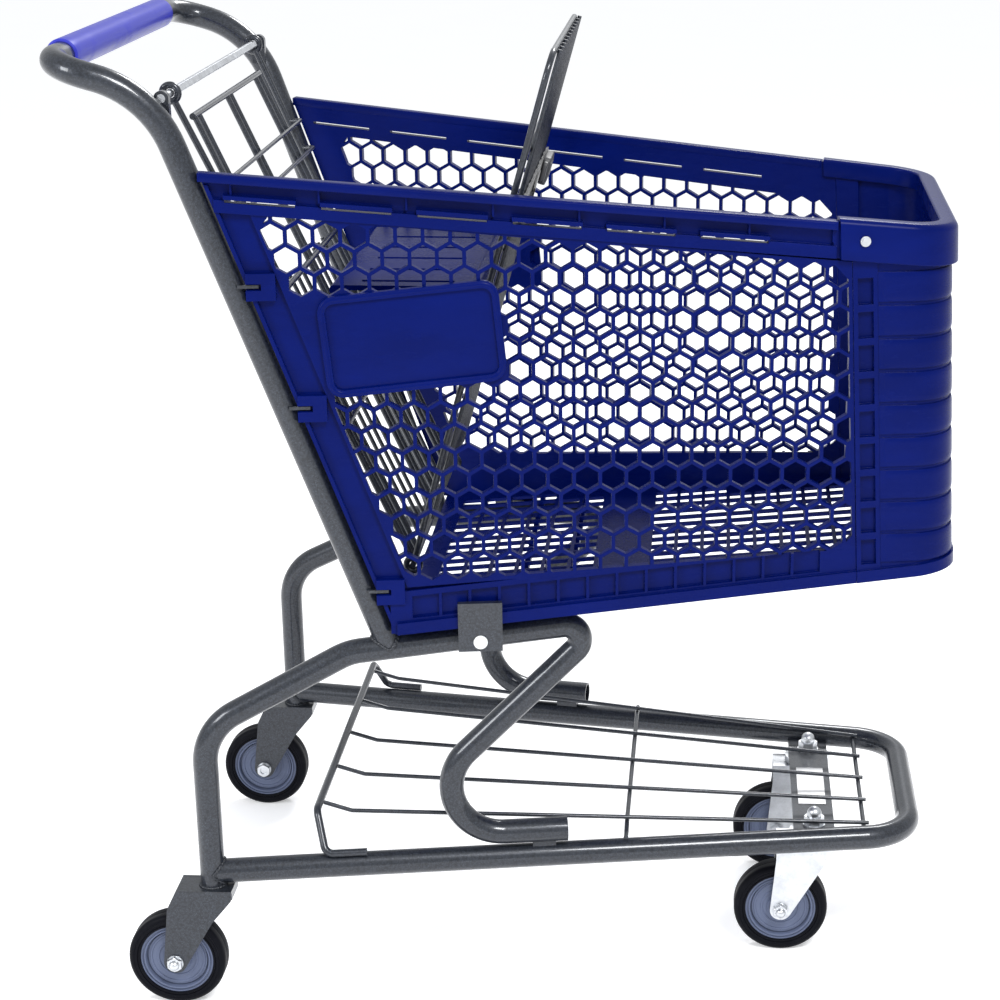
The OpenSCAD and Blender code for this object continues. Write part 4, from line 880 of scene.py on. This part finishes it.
class CART_OT_frame_finish(bpy.types.Operator):
    """Gives every part of the frame the finish of its slot, but the panel hooks the finish of the handle
    tube's slot
    """
    bl_idname = "cart.frame_finish"
    bl_label = "Frame finishes"

    def execute(self, context):
        make_materials(context.scene.cart_colours)
        slots = {}
        for entry in frame["record"]["subparts"]:
            slots[entry["node"]] = entry.get("slot") or entry.get("material_slot")
        for name, node in frame["nodes"].items():
            if slots.get(name) not in MATERIALS:
                raise RuntimeError(f"{name} has no finish for its slot {slots.get(name)!r}")
            node.data.materials.clear()
            # The hooks are painted with the frame that they hold the basket to
            finish = slots["handle_tube" if name == "panel_hooks" else name]
            node.data.materials.append(MATERIALS[finish])
        return {"FINISHED"}


def soft_light(name, place, target, size, watts, tint=(1.0, 1.0, 1.0)):
    """A large square lamp at a place, turned towards a target."""
    lamp = bpy.data.lights.new(name, "AREA")
    lamp.shape, lamp.size, lamp.energy, lamp.color = "SQUARE", size, watts, tint
    made = bpy.data.objects.new(name, lamp)
    made.location = place
    away = np.array(place) - np.array(target)
    made.rotation_euler = (math.atan2(math.hypot(away[0], away[1]), away[2]), 0.0,
                           math.atan2(away[1], away[0]) + math.pi / 2)
    bpy.context.scene.collection.objects.link(made)


class CART_OT_stage(bpy.types.Operator):
    """Makes the pale floor, the soft lights and the camera"""
    bl_idname = "cart.stage"
    bl_label = "Floor, lights and camera"

    def execute(self, context):
        scene = context.scene
        mesh = bpy.data.meshes.new("studio_floor")
        side = 40.0
        mesh.from_pydata([(-side, -side, 0), (side, -side, 0), (side, side, 0), (-side, side, 0)], [],
                         [(0, 1, 2, 3)])
        floor = bpy.data.objects.new("studio_floor", mesh)
        scene.collection.objects.link(floor)
        finish = Finish("studio_floor", Emission_Color=(1.0, 1.0, 1.0, 1.0), Emission_Strength=0.34,
                        Specular_IOR_Level=0.0)
        tone = scene.cart_colours.floor[:]
        mesh.materials.append(finish.end(finish.mixed(finish.noise(3.0), tone, shade(tone, 1.02)), 0.95))

        world = bpy.data.worlds.new("studio")
        world.use_nodes = True
        sky = world.node_tree.nodes["Background"].inputs
        sky["Color"].default_value = (0.96, 0.98, 1.0, 1.0)
        sky["Strength"].default_value = 0.72
        scene.world = world
        soft_light("key", (1.2, -2.4, 3.1), (0.1, 0.0, 0.5), 0.9, 90.0)
        soft_light("fill", (-2.4, -2.0, 1.9), (0.0, 0.0, 0.5), 0.9, 40.0, (0.96, 0.98, 1.0))
        soft_light("back", (0.6, 2.6, 2.8), (0.0, 0.0, 0.5), 0.9, 60.0)
        scene.view_settings.view_transform = "Standard"

        lens = bpy.data.cameras.new("camera")
        lens.lens, lens.sensor_width, lens.sensor_fit = 82.14, 36.0, "HORIZONTAL"
        lens.shift_x, lens.shift_y = -0.1105, 0.0992
        lens.dof.use_dof = False
        camera = bpy.data.objects.new("camera", lens)
        camera.location = (0.191262, -2.3378, 1.2204)
        camera.rotation_euler = (math.radians(69.92), 0.0, math.radians(2.70))
        scene.collection.objects.link(camera)
        scene.camera = camera
        return {"FINISHED"}


STEPS = (CART_OT_stage, CART_OT_frame_finish, CART_OT_wheels, CART_OT_wheel_bolts, CART_OT_handle_grip,
         CART_OT_front_cap, CART_OT_front_bands, CART_OT_rim_beads, CART_OT_sign_pads, CART_OT_welds,
         CART_OT_seat_belt)


class CART_PT_panel(bpy.types.Panel):
    """Lists the cart's pieces, sizes and colours in the sidebar"""
    bl_idname = "CART_PT_panel"
    bl_label = "Shopping cart"
    bl_space_type = "VIEW_3D"
    bl_region_type = "UI"
    bl_category = "Cart"

    def draw(self, context):
        for step in STEPS:
            self.layout.operator(step.bl_idname)
        for group in (context.scene.cart_sizes, context.scene.cart_colours):
            box = self.layout.box()
            for name in group.bl_rna.properties.keys():
                if name not in ("rna_type", "name"):
                    box.prop(group, name)


CLASSES = (CartSizes, CartColours, *STEPS, CART_PT_panel)


def register():
    for cls in CLASSES:
        bpy.utils.register_class(cls)
    bpy.types.Scene.cart_sizes = bpy.props.PointerProperty(type=CartSizes)
    bpy.types.Scene.cart_colours = bpy.props.PointerProperty(type=CartColours)


def unregister():
    del bpy.types.Scene.cart_sizes, bpy.types.Scene.cart_colours
    for cls in reversed(CLASSES):
        bpy.utils.unregister_class(cls)


def main():
    register()
    for step in STEPS:
        group, name = step.bl_idname.split(".")
        getattr(getattr(bpy.ops, group), name)()


if __name__ == "__main__":
    main()
